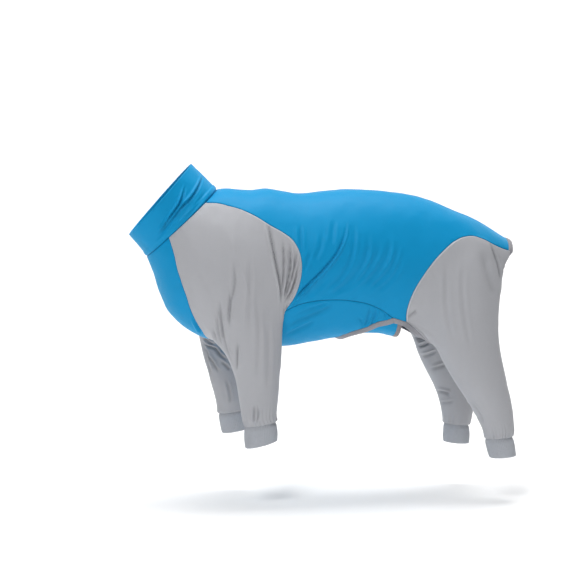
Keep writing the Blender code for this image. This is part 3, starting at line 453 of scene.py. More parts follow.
def distances(points):
    """Distance of each point along a line of points."""
    steps = np.linalg.norm(np.diff(points, axis=0), axis=1)
    return np.concatenate([[0.0], np.cumsum(steps)])


def path(points, samples=400):
    """Many points along a smooth curve through a few."""
    points = np.asarray(points, float)
    keys = distances(points)
    return through(keys, points, np.linspace(0.0, keys[-1], samples))


def even_steps(points, count, measure=None):
    """count + 1 points at even steps along a line, measured on the line or on its image."""
    along = distances(points if measure is None else measure(points))
    at = np.linspace(0.0, along[-1], count + 1)
    columns = [np.interp(at, along, column) for column in np.asarray(points).T]
    return np.stack(columns, axis=1)


def rib(station):
    """Back point, belly point, half width and the two roundnesses at each station."""
    table = np.array(RIBS)
    row = through(table[:, 0], table[:, 1:], station)
    back = row[..., 0:2] * (BODY_LENGTH, BODY_DEPTH)
    belly = row[..., 2:4] * (BODY_LENGTH, BODY_DEPTH)
    return back, belly, row[..., 4] * BODY_WIDTH, row[..., 5], row[..., 6]


def trunk(places):
    """Points of the body form at (station, round) places.

    Round runs from 0 on the back over the left side to 1 on the belly, and from there over
    the right side to 2. Minus numbers are on the right side too.
    """
    places = np.asarray(places, float)
    turn = (places[..., 1] + 1.0) % 2.0 - 1.0
    share = np.abs(turn)
    back, belly, half, upper, lower = rib(places[..., 0])
    height = (0.5 + 0.5 * np.cos(np.pi * share))[..., None]
    line = belly + (back - belly) * height
    power = np.where(share < 0.5, upper, lower)
    reach = half * np.sin(np.pi * share) ** power
    return np.stack([line[..., 0], np.where(turn >= 0, LEFT, RIGHT) * reach, line[..., 1]], axis=-1)


def trunk_normal(places):
    """Directions that point out of the body form at the places."""
    places = np.asarray(places, float)
    inner = places.copy()
    inner[..., 0] = np.clip(inner[..., 0], PLACE_STEP, 1.0 - PLACE_STEP)
    along = trunk(inner + (PLACE_STEP, 0.0)) - trunk(inner - (PLACE_STEP, 0.0))
    across = trunk(inner + (0.0, PLACE_STEP)) - trunk(inner - (0.0, PLACE_STEP))
    normal = unit(np.cross(along, across))
    back, belly, _, _, _ = rib(inner[..., 0])
    middle = (back + belly) / 2.0
    centre = np.stack([middle[..., 0], np.zeros(middle.shape[:-1]), middle[..., 1]], axis=-1)
    sign = np.sign(np.sum(normal * (trunk(inner) - centre), axis=-1, keepdims=True))
    return normal * sign


def on_trunk(rows):
    """Places on the left side of the body form that show at the side-view rows."""
    spots = np.asarray(rows, float)[:, :2] * (BODY_LENGTH, BODY_DEPTH)
    low = np.zeros(len(spots))
    high = np.ones(len(spots))
    for _ in range(40):
        station = (low + high) / 2.0
        back, belly, _, _, _ = rib(station)
        line = back - belly
        spot = spots - belly
        ahead = line[:, 0] * spot[:, 1] - line[:, 1] * spot[:, 0] > 0.0
        high = np.where(ahead, station, high)
        low = np.where(ahead, low, station)
    back, belly, _, _, _ = rib(low)
    line = back - belly
    height = np.sum((spots - belly) * line, axis=1) / np.sum(line * line, axis=1)
    share = np.arccos(np.clip(2.0 * height - 1.0, -1.0, 1.0)) / np.pi
    return np.stack([low, share], axis=1)


def seam(places, count):
    """Places at even steps along a seam through the given places."""
    return even_steps(path(places), count, trunk)


def joined(*lines):
    """Lines laid end to end, without their doubled points."""
    return np.concatenate([line if i == 0 else line[1:] for i, line in enumerate(lines)])


def mirrored(places):
    """The same places on the other side of the body form."""
    return places * (1.0, -1.0) + (0.0, 2.0)


def body_seams(steps):
    """Places along every seam and edge on the left side of the body form."""
    raglan = on_trunk(BACK_RAGLAN)
    chest = on_trunk(FRONT_RAGLAN)
    raglan[0, 0] = 0.0
    chest[0, 0] = 0.0
    rear = on_trunk(HIND_SEAM)
    rear[-1, 0] = 1.0
    flank = on_trunk(FLANK)
    flank[0] = raglan[-1]
    groin = on_trunk(LOWER_EDGE)
    groin[0] = flank[-1]
    rear[0] = groin[-1]
    arch = on_trunk(BELLY_ARCH)
    arch[0] = flank[-1]
    apex = np.array([[ARCH_APEX_STATION, 1.0]])
    whole_arch = np.concatenate([arch, apex, mirrored(arch)[::-1]])
    nape = np.array([[0.0, 0.0], raglan[0]])
    shoulder = np.array([raglan[0], chest[0]])
    throat = np.array([chest[0], [0.0, 1.0], mirrored(chest[:1])[0]])
    rump = np.array([[1.0, 0.0], rear[-1]])
    under = np.concatenate([chest[-1:], np.array(UNDERARM_MIDDLE), raglan[-1:]])
    return {
        "nape": seam(nape, NAPE_STEPS * steps),
        "shoulder": seam(shoulder, SHOULDER_STEPS * steps),
        "throat": seam(throat, CHEST_STEPS * steps),
        "back_raglan": seam(raglan, BACK_RAGLAN_STEPS * steps),
        "front_raglan": seam(chest, FRONT_RAGLAN_STEPS * steps),
        "underarm": seam(under, UNDERARM_STEPS * steps),
        "flank": seam(flank, FLANK_STEPS * steps),
        "lower": seam(groin, LOWER_STEPS * steps),
        "hind": seam(rear, HIND_LOOP_STEPS[0] * steps),
        "rump": seam(rump, RUMP_STEPS * steps),
        "arch": seam(whole_arch, CHEST_STEPS * steps),
    }


def settled(grid, rounds):
    """Flat grid whose inner points settle to smooth lines that stay within its edges."""
    for _ in range(rounds):
        down = grid[2:, 1:-1] - grid[:-2, 1:-1]
        side = grid[1:-1, 2:] - grid[1:-1, :-2]
        along = np.sum(side * side, axis=-1, keepdims=True)
        across = np.sum(down * down, axis=-1, keepdims=True)
        mixed = np.sum(down * side, axis=-1, keepdims=True)
        skew = grid[2:, 2:] - grid[2:, :-2] - grid[:-2, 2:] + grid[:-2, :-2]
        total = along * (grid[2:, 1:-1] + grid[:-2, 1:-1])
        total = total + across * (grid[1:-1, 2:] + grid[1:-1, :-2]) - 0.5 * mixed * skew
        grid[1:-1, 1:-1] = total / (2.0 * (along + across) + 1e-12)
    return grid


def grid_normals(grid, around=False):
    """Normals of a grid of points, whose second direction may close on itself."""
    down = np.gradient(grid, axis=0)
    if around:
        side = np.roll(grid, -1, axis=1) - np.roll(grid, 1, axis=1)
    else:
        side = np.gradient(grid, axis=1)
    return unit(np.cross(down, side))


def facing_out(grid, normals, centres):
    """Normals turned so that they point away from the centres."""
    sign = np.sum(normals * (grid - centres), axis=-1, keepdims=True)
    return normals * np.where(np.median(sign) < 0.0, -1.0, 1.0)


def ring(row, angles, side, drop, width, thickness, stance):
    """Points of one leg ring at the given angles."""
    down, centre, half_width, half_thickness, spread, rise = row
    turn = np.radians(angles)
    x = centre * BODY_LENGTH - np.cos(turn) * half_width * width
    y = side * (spread * stance + np.sin(turn) * half_thickness * thickness)
    z = -BELLY_LEVEL - down * drop - np.cos(turn) * rise * half_width * width
    return np.stack([x, y, z], axis=-1)


def cuff_ring(cuff, share, angles, side, sizes):
    """Points of a cuff's ring, at its top for share 0 and at its bottom for share 1."""
    drop, width, thickness, height, stance = sizes
    top, bottom, rise_top, rise_bottom = cuff
    turn = np.radians(angles)
    centre = top + (bottom - top) * share
    rise = rise_top + (rise_bottom - rise_top) * share
    x = centre * BODY_LENGTH - np.cos(turn) * width / 2.0
    y = side * (0.5 * stance + np.sin(turn) * thickness / 2.0)
    z = -BELLY_LEVEL - drop - share * height - np.cos(turn) * rise * width / 2.0
    return np.stack([x, y, z], axis=-1)


def leg_grid(loop, ways, angles, rows, rings, side, sizes, cuff_top):
    """Grid of a leg from its loop on the body down to its cuff seam."""
    drop, width, thickness, stance = sizes
    table = np.array(rings)
    top = ring(table[0], angles, side, drop, width, thickness, stance)
    below = ring(table[1], angles, side, drop, width, thickness, stance)
    reach = np.linalg.norm(top - loop, axis=1, keepdims=True)
    down = unit(below - top)
    grid = []
    for k in range(rows[0]):
        s = (k / rows[0]) ** ROW_CROWDING
        rise = s * s * (3.0 - 2.0 * s)
        point = loop * (1.0 - rise) + top * rise
        point = point + reach * (s * (1.0 - s) ** 2 * ways + s * s * (s - 1.0) * down)
        grid.append(point)
    for share in np.linspace(table[0, 0], table[-1, 0], rows[1]):
        row = through(table[:, 0], table, share)
        grid.append(ring(row, angles, side, drop, width, thickness, stance))
    hem = cuff_top + unit(grid[-1] - grid[-1].mean(axis=0)) * HEM_OVERHANG
    hem[:, 2] = cuff_top[:, 2] + 2.0 * HEM_OVERHANG
    grid.append(hem)
    grid.append(cuff_top)
    return np.array(grid)


def relaxed(grid, rounds):
    """Grid with its inner rows eased toward their neighbours, closed round its rings."""
    grid = grid.copy()
    for _ in range(rounds):
        mean = (grid[1:-3] + grid[3:-1]) / 4.0
        mean = mean + (np.roll(grid, 1, axis=1) + np.roll(grid, -1, axis=1))[2:-2] / 4.0
        grid[2:-2] = grid[2:-2] * 0.5 + mean * 0.5
    return grid


def spread_over(corners, counts):
    """Values that run evenly from corner to corner over the given counts of steps."""
    lines = []
    for (first, second), count in zip(zip(corners[:-1], corners[1:]), counts):
        lines.append(np.linspace(first, second, count, endpoint=False))
    return np.concatenate(lines)


def out_of_body(ways, normals):
    """Directions without the part of them that points into the body."""
    inward = np.minimum(np.sum(ways * normals, axis=1, keepdims=True), 0.0)
    return unit(ways - normals * inward)


def loop_ways(loop, normals, inside, toward, lean):
    """First direction of each line that leaves a seam on the body, along its face or down."""
    tangent = unit(np.gradient(loop, axis=0))
    square = np.cross(normals, tangent)
    sign = np.sign(np.sum(square * (inside - loop), axis=1, keepdims=True))
    square = unit(square * sign)
    straight = out_of_body(unit(toward - loop), normals)
    back = np.minimum(np.sum(straight * square, axis=1, keepdims=True), 0.0)
    return unit(square * (1.0 - lean) + (straight - square * back) * lean)


def eased_round(ways, normals):
    """Directions round a loop eased toward their neighbours, still out of the body."""
    beside = np.roll(ways, 1, axis=0) + np.roll(ways, -1, axis=0)
    return out_of_body(unit(ways * 2.0 + beside), normals)


def sleeve_parts(seams, side):
    """Loop, normals and counts of a sleeve's seam, in order round the sleeve."""
    lines = [
        seams["shoulder"],
        seams["front_raglan"],
        seams["underarm"],
        seams["back_raglan"][::-1],
    ]
    places = joined(*lines)[:-1]
    counts = [len(line) - 1 for line in lines]
    loop = trunk(places) * (1.0, -side, 1.0)
    normals = trunk_normal(places) * (1.0, -side, 1.0)
    return loop, normals, counts


def front_cuff_sizes():
    """Drop, width, thickness, height and stance of a front cuff."""
    return FRONT_DROP, FRONT_CUFF_WIDTH, FRONT_CUFF_THICKNESS, FRONT_CUFF_HEIGHT, FRONT_STANCE


def hind_cuff_sizes():
    """Drop, width, thickness, height and stance of a hind cuff."""
    return HIND_DROP, HIND_CUFF_WIDTH, HIND_CUFF_THICKNESS, HIND_CUFF_HEIGHT, HIND_STANCE


def leg_edge(side):
    """Points along the inner edge of a hind leg and the ways its binding stands."""
    rows = np.array(LEG_EDGE)
    points = np.stack(
        [rows[:, 0] * BODY_LENGTH, side * rows[:, 2] * BODY_WIDTH, rows[:, 1] * BODY_DEPTH], axis=1
    )
    ways = rows[:, 3:] * (1.0, -side, 1.0)
    return points, ways


def hind_edge_line(seams, side, steps):
    """Inner edge of a hind leg from the rump to the groin, at even steps."""
    points, ways = leg_edge(side)
    ends = trunk(seams["hind"][[-1, 0]]) * (1.0, -side, 1.0)
    points[0] = ends[0]
    points[-1] = ends[1]
    line = path(np.concatenate([points, ways], axis=1)[:, :3])
    keys = distances(points)
    ways = through(keys, ways, np.linspace(0.0, keys[-1], len(line)))
    count = sum(HIND_LOOP_STEPS[1:]) * steps
    both = even_steps(np.concatenate([line, ways], axis=1), count, lambda p: p[:, :3])
    return both[:, :3], unit(both[:, 3:])


def beyond(edge, inner):
    """Directions that carry a cloth on past its edge, square to the edge."""
    tangent = unit(np.gradient(edge, axis=0))
    ways = edge - inner
    return unit(ways - tangent * np.sum(ways * tangent, axis=-1, keepdims=True))


def flap_grid(first, last, steps):
    """Grid just inside the body form, across the belly between two stations."""
    stations = np.linspace(first, last, steps[0] + 1)
    rounds = np.linspace(FLAP_PLACE[2], 2.0 - FLAP_PLACE[2], steps[1] + 1)
    places = np.stack(np.meshgrid(stations, rounds, indexing="ij"), axis=-1)
    normals = trunk_normal(places)
    return trunk(places) - normals * (WALL + FLAP_CLEARANCE), normals


def spline(rows, at, closed=False):
    """Rows read at fractions of a row from a smooth curve through every row."""
    at = np.asarray(at, float)
    if closed:
        rows = np.concatenate([rows[-6:], rows, rows[:7]])
        at = at + 6.0
    count = len(rows)
    flat = rows.reshape(count, -1)
    bands = np.eye(count) * 4.0 + np.eye(count, k=1) + np.eye(count, k=-1)
    bands[0] = 0.0
    bands[-1] = 0.0
    bands[0, 0] = 1.0
    bands[-1, -1] = 1.0
    bend = np.zeros(flat.shape)
    bend[1:-1] = 6.0 * (flat[2:] - 2.0 * flat[1:-1] + flat[:-2])
    bend = np.linalg.solve(bands, bend)
    i = np.clip(np.floor(at).astype(int), 0, count - 2)
    s = (at - i)[:, None]
    value = (1.0 - s) * flat[i] + s * flat[i + 1]
    value = value + ((1.0 - s) ** 3 - (1.0 - s)) * bend[i] / 6.0 + (s**3 - s) * bend[i + 1] / 6.0
    return value.reshape((len(at),) + rows.shape[1:])


def between(rows, at):
    """Rows read at fractions of a row in straight steps."""
    i = np.clip(np.floor(at).astype(int), 0, len(rows) - 2)
    s = (at - i).reshape((-1,) + (1,) * (rows.ndim - 1))
    return rows[i] * (1.0 - s) + rows[i + 1] * s


def edge_places(count):
    """Places of rows that stand closer together at the edges of a cloth."""
    steps = np.array(EDGE_STEPS)
    return np.concatenate([steps, np.arange(2.0, count - 2.0), count - 1.0 - steps[::-1]])


def settled_patch(front, rear, first, last):
    """Fine grid of places inside four lines, settled in steps from coarse to fine."""
    grid = None
    last_level = 1
    for level, rounds in SETTLING:
        skip = FINE // level
        ratio = level / last_level
        last_level = level
        lines = [line[::skip] for line in (front, rear, first, last)]
        a, b, c, d = lines
        u = np.linspace(0.0, 1.0, len(c))[:, None, None]
        v = np.linspace(0.0, 1.0, len(a))[None, :, None]
        if grid is None:
            corners = (c[0] * (1.0 - v) + d[0] * v) * (1.0 - u) + (c[-1] * (1.0 - v) + d[-1] * v) * u
            grid = a[None] * (1.0 - u) + b[None] * u + c[:, None] * (1.0 - v) + d[:, None] * v - corners
            grid = grid * PLACE_SCALE
        else:
            grid = between(grid, np.arange(len(c)) / ratio)
            grid = between(grid.swapaxes(0, 1), np.arange(len(a)) / ratio).swapaxes(0, 1)
        grid[0] = a * PLACE_SCALE
        grid[-1] = b * PLACE_SCALE
        grid[:, 0] = c * PLACE_SCALE
        grid[:, -1] = d * PLACE_SCALE
        grid = settled(grid, rounds)
    return grid / PLACE_SCALE


def soft_noise(points, scale, seed):
    """Smooth noise from -1 to 1 at points, with bumps of the given size in metres."""
    spot = np.asarray(points, float) / scale + seed * 17.31
    cell = np.floor(spot).astype(np.int64)
    part = spot - cell
    part = part * part * part * (part * (part * 6.0 - 15.0) + 10.0)
    total = np.zeros(spot.shape[:-1])
    for i in (0, 1):
        for j in (0, 1):
            for k in (0, 1):
                key = (cell[..., 0] + i) * 374761393 + (cell[..., 1] + j) * 668265263
                key = (key + (cell[..., 2] + k) * 2147483647 + seed * 974634777) & 0xFFFFFFFF
                key = ((key ^ (key >> 13)) * 1274126177) & 0xFFFFFFFF
                value = ((key ^ (key >> 16)) & 0xFFFF) / 32767.5 - 1.0
                weight = part[..., 0] if i else 1.0 - part[..., 0]
                weight = weight * (part[..., 1] if j else 1.0 - part[..., 1])
                weight = weight * (part[..., 2] if k else 1.0 - part[..., 2])
                total = total + value * weight
    return total


def camera_frame():
    """Eye and the right, up and back directions of the camera."""
    a, e = math.radians(TURN), math.radians(HEIGHT)
    back = np.array([math.sin(a) * math.cos(e), -math.cos(a) * math.cos(e), math.sin(e)])
    eye = np.array(TARGET) + DISTANCE * back
    right = unit(np.cross(-back, [0.0, 0.0, 1.0]))
    return eye, right, np.cross(right, -back), back


def seen(points):
    """Where points show from the front, in millimetres on the plane through TARGET."""
    eye, right, up, back = camera_frame()
    away = points - eye
    depth = -(away @ back)
    return 1000.0 * DISTANCE * np.stack([away @ right / depth, away @ up / depth], axis=-1)


def fold_line(pixels):
    """Smooth line through pixel places, taken to whole millimetres on the plane through TARGET."""
    spots = (np.array(pixels) - PHOTO_MIDDLE) * (1.0, -1.0) * PIXEL
    return path(np.round(spots), FOLD_SAMPLES)


def crease_height(spots, folds):
    """Height in metres of the folds at seen places, and the share of painted shade in each fold's valley."""
    height = np.zeros(spots.shape[:-1])
    inside = np.zeros(spots.shape[:-1])
    for depth, width, side, ridge, pixels in folds:
        line = fold_line(pixels)
        low = line.min(axis=0) - FOLD_REACH * width
        high = line.max(axis=0) + FOLD_REACH * width
        near = np.all((spots > low) & (spots < high), axis=-1)
        if not near.any():
            continue
        spot = spots[near]
        away = spot[:, None, :] - line[None]
        gap = np.hypot(away[..., 0], away[..., 1])
        nearest = np.argmin(gap, axis=1)
        tangent = unit(np.gradient(line, axis=0))[nearest]
        offset = away[np.arange(len(spot)), nearest]
        across = tangent[:, 0] * offset[:, 1] - tangent[:, 1] * offset[:, 0]
        share = nearest / (len(line) - 1.0)
        size = smooth_step(share * FOLD_START + 0.05) * smooth_step((1.0 - share) * FOLD_END)
        gap = gap.min(axis=1) / width
        valley = -np.exp(-(gap**VALLEY_POWER))
        rise = np.exp(-((gap - RIDGE_PLACE) ** 2) / RIDGE_SPREAD)
        if side:
            rise = rise * (LOW_RIDGE + (1.0 - LOW_RIDGE) * smooth_step(0.5 + side * across / width))
        height[near] = height[near] + depth * 0.001 * size * (valley + ridge * rise)
        # Painted shade down the valley: a dark line, stronger for deeper and narrower folds
        deep = min(1.0, (depth / DARK_DEPTH) ** 1.5)
        narrow = min(1.0, (DARK_WIDTH / width) ** 2)
        inside[near] = np.maximum(inside[near], size * np.exp(-((gap / DARK_SHARE) ** 2)) * deep * narrow)
    return np.stack([height, inside])


def creased(grid, normals, folds, view=-1, mirrored_view=False, shift=0.0, size=1.0, seed=0):
    """Height and painted shade share of folds on the side that faces the view, -1 left or 1 right."""
    points = grid - np.array([shift, 0.0, 0.0])
    if mirrored_view:
        points = points * MIRROR
    spots = seen(points)
    if seed:
        spots = spots + 5.0 * np.stack([soft_noise(grid, 0.09, seed), soft_noise(grid, 0.09, seed + 1)], -1)
    facing = smooth_step(1.5 * view * normals[..., 1] + 0.1)
    return crease_height(spots, folds) * facing[None] * size


def drape_noise(points, seed, size):
    """Small soft unevenness of worn cloth."""
    broad, middle, fine_bumps = DRAPE
    return size * (
        broad[0] * soft_noise(points * (1.0, 1.0, 0.75), broad[1], seed)
        + middle[0] * soft_noise(points, middle[1], seed + 3)
        + fine_bumps[0] * soft_noise(points, fine_bumps[1], seed + 5)
    )


def both_sides(grid, normals, folds, shift, seed):
    """Folds on the left side, and again on the right side, moved, lower and a little wandering."""
    return creased(grid, normals, folds) + creased(grid, normals, folds, 1, True, shift, 0.9, seed)


def pucker(along, away, size, seed, wave=0.0105, reach=0.011):
    """Small ripples that run out of a sewn edge."""
    phase = along / wave * math.tau + 2.2 * np.sin(along / wave * 0.37 * math.tau + seed)
    height = np.sin(phase) * (0.6 + 0.4 * np.sin(along / wave * 0.21 * math.tau + 2.0 * seed))
    return size * height * np.exp(-((away / reach) ** 1.5)) * smooth_step(away / 0.0035)


def seam_height(away, turned):
    """Profile of a cloth beside a sewn seam, with a slightly raised turned edge."""
    depth, width = GROOVE
    height = -depth * np.exp(-((away / width) ** 2))
    rise, place, spread = TURNED_EDGE
    return height + turned * rise * np.exp(-(((away - place) / spread) ** 2))


def edge_ways(grid):
    """Distances from the four edges and lengths along them, for a flat grid."""
    down = np.linalg.norm(np.diff(grid, axis=0), axis=2)
    down = np.concatenate([np.zeros((1, grid.shape[1])), np.cumsum(down, axis=0)])
    side = np.linalg.norm(np.diff(grid, axis=1), axis=2)
    side = np.concatenate([np.zeros((grid.shape[0], 1)), np.cumsum(side, axis=1)], axis=1)
    return down, down[-1:] - down, side, side[:, -1:] - side


def collection():
    made = bpy.data.collections.get("dressed_suit")
    if made is None:
        made = bpy.data.collections.new("dressed_suit")
        bpy.context.scene.collection.children.link(made)
    return made


def surface(name, grid, normals, material, wall, around=False, both=False, edge=None, along=None,
            inside=None):
    """Cloth object from a grid, with its own map in metres and its distance to the seams."""
    rows, columns = grid.shape[:2]
    index = np.arange(rows * columns).reshape(rows, columns)
    if around:
        index = np.concatenate([index, index[:, :1]], axis=1)
    if both:
        index = np.concatenate([index, index[:1]], axis=0)
    quads = np.stack([index[:-1, :-1], index[:-1, 1:], index[1:, 1:], index[1:, :-1]], axis=-1)
    quads = quads.reshape(-1, 4)
    points = grid.reshape(-1, 3)
    cross = np.cross(points[quads[:, 2]] - points[quads[:, 0]], points[quads[:, 3]] - points[quads[:, 1]])
    if np.sum(cross * normals.reshape(-1, 3)[quads[:, 0]]) < 0.0:
        quads = quads[:, ::-1]
    mesh = bpy.data.meshes.new(name)
    mesh.vertices.add(len(points))
    mesh.vertices.foreach_set("co", points.astype(np.float32).ravel())
    mesh.loops.add(quads.size)
    mesh.loops.foreach_set("vertex_index", quads.astype(np.int32).ravel())
    mesh.polygons.add(len(quads))
    mesh.polygons.foreach_set("loop_start", np.arange(0, quads.size, 4, dtype=np.int32))
    mesh.update(calc_edges=True)
    mesh.validate()
    mesh.shade_smooth()
    down = np.linalg.norm(np.diff(grid, axis=0), axis=2).mean(axis=1)
    side = np.linalg.norm(np.diff(grid, axis=1), axis=2).mean(axis=0)
    u = np.concatenate([[0.0], np.cumsum(side)])
    v = np.concatenate([[0.0], np.cumsum(down)])
    flat_map = np.stack(np.broadcast_arrays(u[None, :], v[:, None]), axis=-1)
    layer = mesh.uv_layers.new(name="cloth_map")
    corners = np.empty(len(mesh.loops), np.int32)
    mesh.loops.foreach_get("vertex_index", corners)
    layer.data.foreach_set("uv", flat_map.reshape(-1, 2)[corners].astype(np.float32).ravel())
    # The fold attribute carries the painted shade of the fold valleys into the material
    for title, values in (("seam_distance", edge), ("seam_length", along), ("fold_painted_shade", inside)):
        if values is not None:
            attribute = mesh.attributes.new(title, "FLOAT", "POINT")
            attribute.data.foreach_set("value", values.astype(np.float32).ravel())
    mesh.materials.append(material)
    piece = bpy.data.objects.new(name, mesh)
    collection().objects.link(piece)
    if wall:
        bpy.ops.object.select_all(action="DESELECT")
        piece.select_set(True)
        bpy.context.view_layer.objects.active = piece
        shell = piece.modifiers.new("Wall", "SOLIDIFY")
        shell.thickness = wall
        shell.offset = -1.0
        shell.use_rim = True
        bpy.ops.object.modifier_apply(modifier=shell.name)
    return piece


def wear(piece, node):
    """Puts a finished cloth piece in its node's place."""
    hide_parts(node)
    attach(piece, "root")


def panel(places):
    """Fine grid of a panel, its normals, the ways to its four edges and to the nearest one."""
    places = between(places, edge_places(places.shape[0]))
    places = between(places.swapaxes(0, 1), edge_places(places.shape[1])).swapaxes(0, 1)
    grid = trunk(places)
    ways = edge_ways(grid)
    return grid, trunk_normal(places), ways, np.minimum.reduce(ways)


def back_cloth(seams, material):
    """Blue panel over the back and both flanks."""
    front = joined(seams["nape"], seams["back_raglan"])
    rear = joined(seams["rump"], seams["hind"][::-1])
    low = joined(seams["flank"], seams["lower"])
    middle = seam([[0.0, 0.0], [1.0, 0.0]], len(low) - 1)
    half = settled_patch(front, rear, middle, low)
    places = np.concatenate([half[:, ::-1], half[:, 1:] * (1.0, -1.0)], axis=1)
    grid, normals, (top, bottom, left, right), away = panel(places)
    fade = smooth_step((away - 0.001) / 0.016)
    made = both_sides(grid, normals, BACK_FOLDS, 0.012, 11)
    height, inside = made * (0.35 + 0.65 * smooth_step(away / 0.012)) * smooth_step(away / 0.004)
    height = height + drape_noise(grid, 1, 1.0) * fade
    height = height + pucker(left, top, 0.00045, 1.0)
    height = height + pucker(left, bottom, 0.00045, 2.0)
    height = height + pucker(top, np.minimum(left, right), 0.0006, 3.0)
    height = height + seam_height(away, 0.25)
    grid = grid + normals * height[..., None]
    return surface("back_cloth", grid, normals, material, CLOTH, edge=away, inside=inside)


def underside_cloth(seams, material):
    """Blue panel from the throat between the front legs to the belly arch."""
    left_line = joined(seams["front_raglan"], seams["underarm"], seams["flank"])
    places = settled_patch(seams["throat"], seams["arch"], left_line, mirrored(left_line))
    grid, normals, (top, bottom, left, right), away = panel(places)
    made = both_sides(grid, normals, UNDERSIDE_FOLDS + CHEST_FOLDS, 0.008, 21)
    height, inside = made * smooth_step(away / 0.004)
    height = height + drape_noise(grid, 2, 1.0) * smooth_step(away / 0.014)
    height = height + pucker(top, np.minimum(left, right), 0.0006, 4.0)
    height = height + pucker(left, bottom, 0.0007, 5.0, 0.012, 0.016)
    height = height + seam_height(away, 0.25)
    grid = grid + normals * height[..., None]
    return surface("underside_cloth", grid, normals, material, CLOTH, edge=away, inside=inside)


def fine_leg(coarse, exact, closed_rows):
    """Fine grid through a coarse leg grid whose first row becomes the exact seam."""
    count = coarse.shape[1]
    at = np.arange(count * FINE) / FINE
    grid = spline(coarse.swapaxes(0, 1), at, True).swapaxes(0, 1)
    rows = np.arange((closed_rows - 1) * FINE + 1) / FINE
    grid = spline(grid[:closed_rows], rows)
    change = exact - grid[0]
    fade = 1.0 - smooth_step(np.arange(len(grid)) / (1.6 * FINE))
    grid = grid + change[None] * fade[:, None, None]
    starts = np.array(EDGE_STEPS)
    return between(grid, np.concatenate([starts, np.arange(2.0, len(grid))]))


def seam_away(grid, loop, along):
    """Straight distance to a seam loop near it, and the distance along the cloth elsewhere."""
    many = between(np.concatenate([loop, loop[:1]]), np.arange(len(loop) * 4) / 4.0)
    away = along.copy()
    for i in range(1, len(grid)):
        gap = np.linalg.norm(grid[i][:, None] - many[None], axis=2).min(axis=1)
        away[i] = np.minimum(away[i], gap)
        if gap.min() > 0.03:
            break
    return away


def leg_surface(name, coarse, exact, seam_normals, folds, side, shift, material, seed,
                inner_folds, inner_shift):
    """Leg cloth with its folds, seam groove and gathered hem."""
    grid = fine_leg(coarse, exact, len(coarse) - 1)
    centres = grid.mean(axis=1, keepdims=True)
    normals = facing_out(grid, grid_normals(grid, True), centres)
    shared = np.clip(1.0 - np.arange(len(grid)) / 4.0, 0.0, 1.0)[:, None, None]
    normals = unit(normals * (1.0 - shared) + seam_normals[None] * shared)
    down = np.linalg.norm(np.diff(grid, axis=0), axis=2)
    away = np.concatenate([np.zeros((1, grid.shape[1])), np.cumsum(down, axis=0)])
    left = away[-1:] - away
    away = seam_away(grid, exact, away)
    around = np.linalg.norm(np.roll(exact, -1, axis=0) - exact, axis=1)
    along = np.concatenate([[0.0], np.cumsum(around)[:-1]])[None, :] + 0.0 * away
    outer_seed = 0 if side < 0 else seed
    inner_seed = 0 if side > 0 else seed
    made = creased(grid, normals, folds, side, side > 0, shift, 1.0, outer_seed)
    made = made + creased(grid, normals, inner_folds, -side, side < 0, inner_shift, 1.0, inner_seed)
    height, inside = made * smooth_step(away / 0.003)
    height = height + drape_noise(grid, seed + 40, 1.2) * smooth_step(away / 0.014)
    rise, size, upright = STREAKS
    streaks = soft_noise(grid * (1.0, 1.0, upright), size, seed + 7)
    height = height + rise * streaks * smooth_step(away / 0.02)
    height = height + pucker(along, away, 0.0005, float(seed))
    angle = np.arange(grid.shape[1]) / grid.shape[1] * math.tau
    rise, reach, number = GATHERS
    gathers = np.sin(angle * number + 1.3 * np.sin(angle * 3.0 + seed))
    gathers = gathers * (0.6 + 0.4 * np.sin(angle * 5.0 + 2 * seed))
    height = height + rise * gathers[None] * np.exp(-((left / reach) ** 1.4))
    height = height + seam_height(away, 1.0)
    grid = grid + normals * height[..., None]
    hem = grid[-1]
    middle = coarse[-1].mean(axis=0)
    inward = unit((middle - hem) * (1.0, 1.0, 0.0))
    turn = []
    for share in (0.35, 0.7, 1.0):
        arc = share * math.pi / 2.0
        drop = np.array([0.0, 0.0, -1.0]) * HEM_TURN[0] * math.sin(arc)
        turn.append(hem + drop + inward * HEM_TURN[1] * (1.0 - math.cos(arc)))
    grid = np.concatenate([grid, np.array(turn)])
    normals = np.concatenate([normals, np.repeat(normals[-1:], 3, axis=0)])
    edge = np.concatenate([away, np.repeat(away[-1:], 3, axis=0)])
    inside = np.concatenate([inside, np.repeat(inside[-1:], 3, axis=0)])
    return surface(name, grid, normals, material, CLOTH, True, edge=edge, inside=inside)


def sleeve_cloth(name, seams, fine, side, rings, cuff, material, seed):
    """Raglan sleeve from the neck seam down over its cuff."""
    loop, normals, counts = sleeve_parts(seams, side)
    exact, exact_normals, _ = sleeve_parts(fine, side)
    angles = spread_over([row[0] for row in SLEEVE_LOOP], counts)
    lean = spread_over([row[1] for row in SLEEVE_LOOP], counts)[:, None]
    leg = (FRONT_DROP, FRONT_LEG_WIDTH, FRONT_LEG_THICKNESS, FRONT_STANCE)
    top = ring(rings[0], angles, side, *leg)
    ways = loop_ways(loop, normals, loop.mean(axis=0), top, lean)
    ways = eased_round(ways, normals)
    cuff_top = cuff_ring(cuff, 0.0, angles, side, front_cuff_sizes())
    coarse = relaxed(leg_grid(loop, ways, angles, SLEEVE_ROWS, rings, side, leg, cuff_top), LEG_EASING)
    shift = (rings[0][1] - FRONT_LEFT_RINGS[0][1]) * BODY_LENGTH
    inner = (rings[0][1] - FRONT_RIGHT_RINGS[0][1]) * BODY_LENGTH
    return leg_surface(name, coarse, exact, exact_normals, SLEEVE_FOLDS, side, shift, material, seed,
                       FAR_SLEEVE_FOLDS, inner)


def hind_parts(seams, side, steps):
    """Loop of a hind leg with the ways of its bound edge."""
    edge, ways = hind_edge_line(seams, side, steps)
    upper = trunk(seams["hind"]) * (1.0, -side, 1.0)
    return joined(upper, edge)[:-1], ways, upper


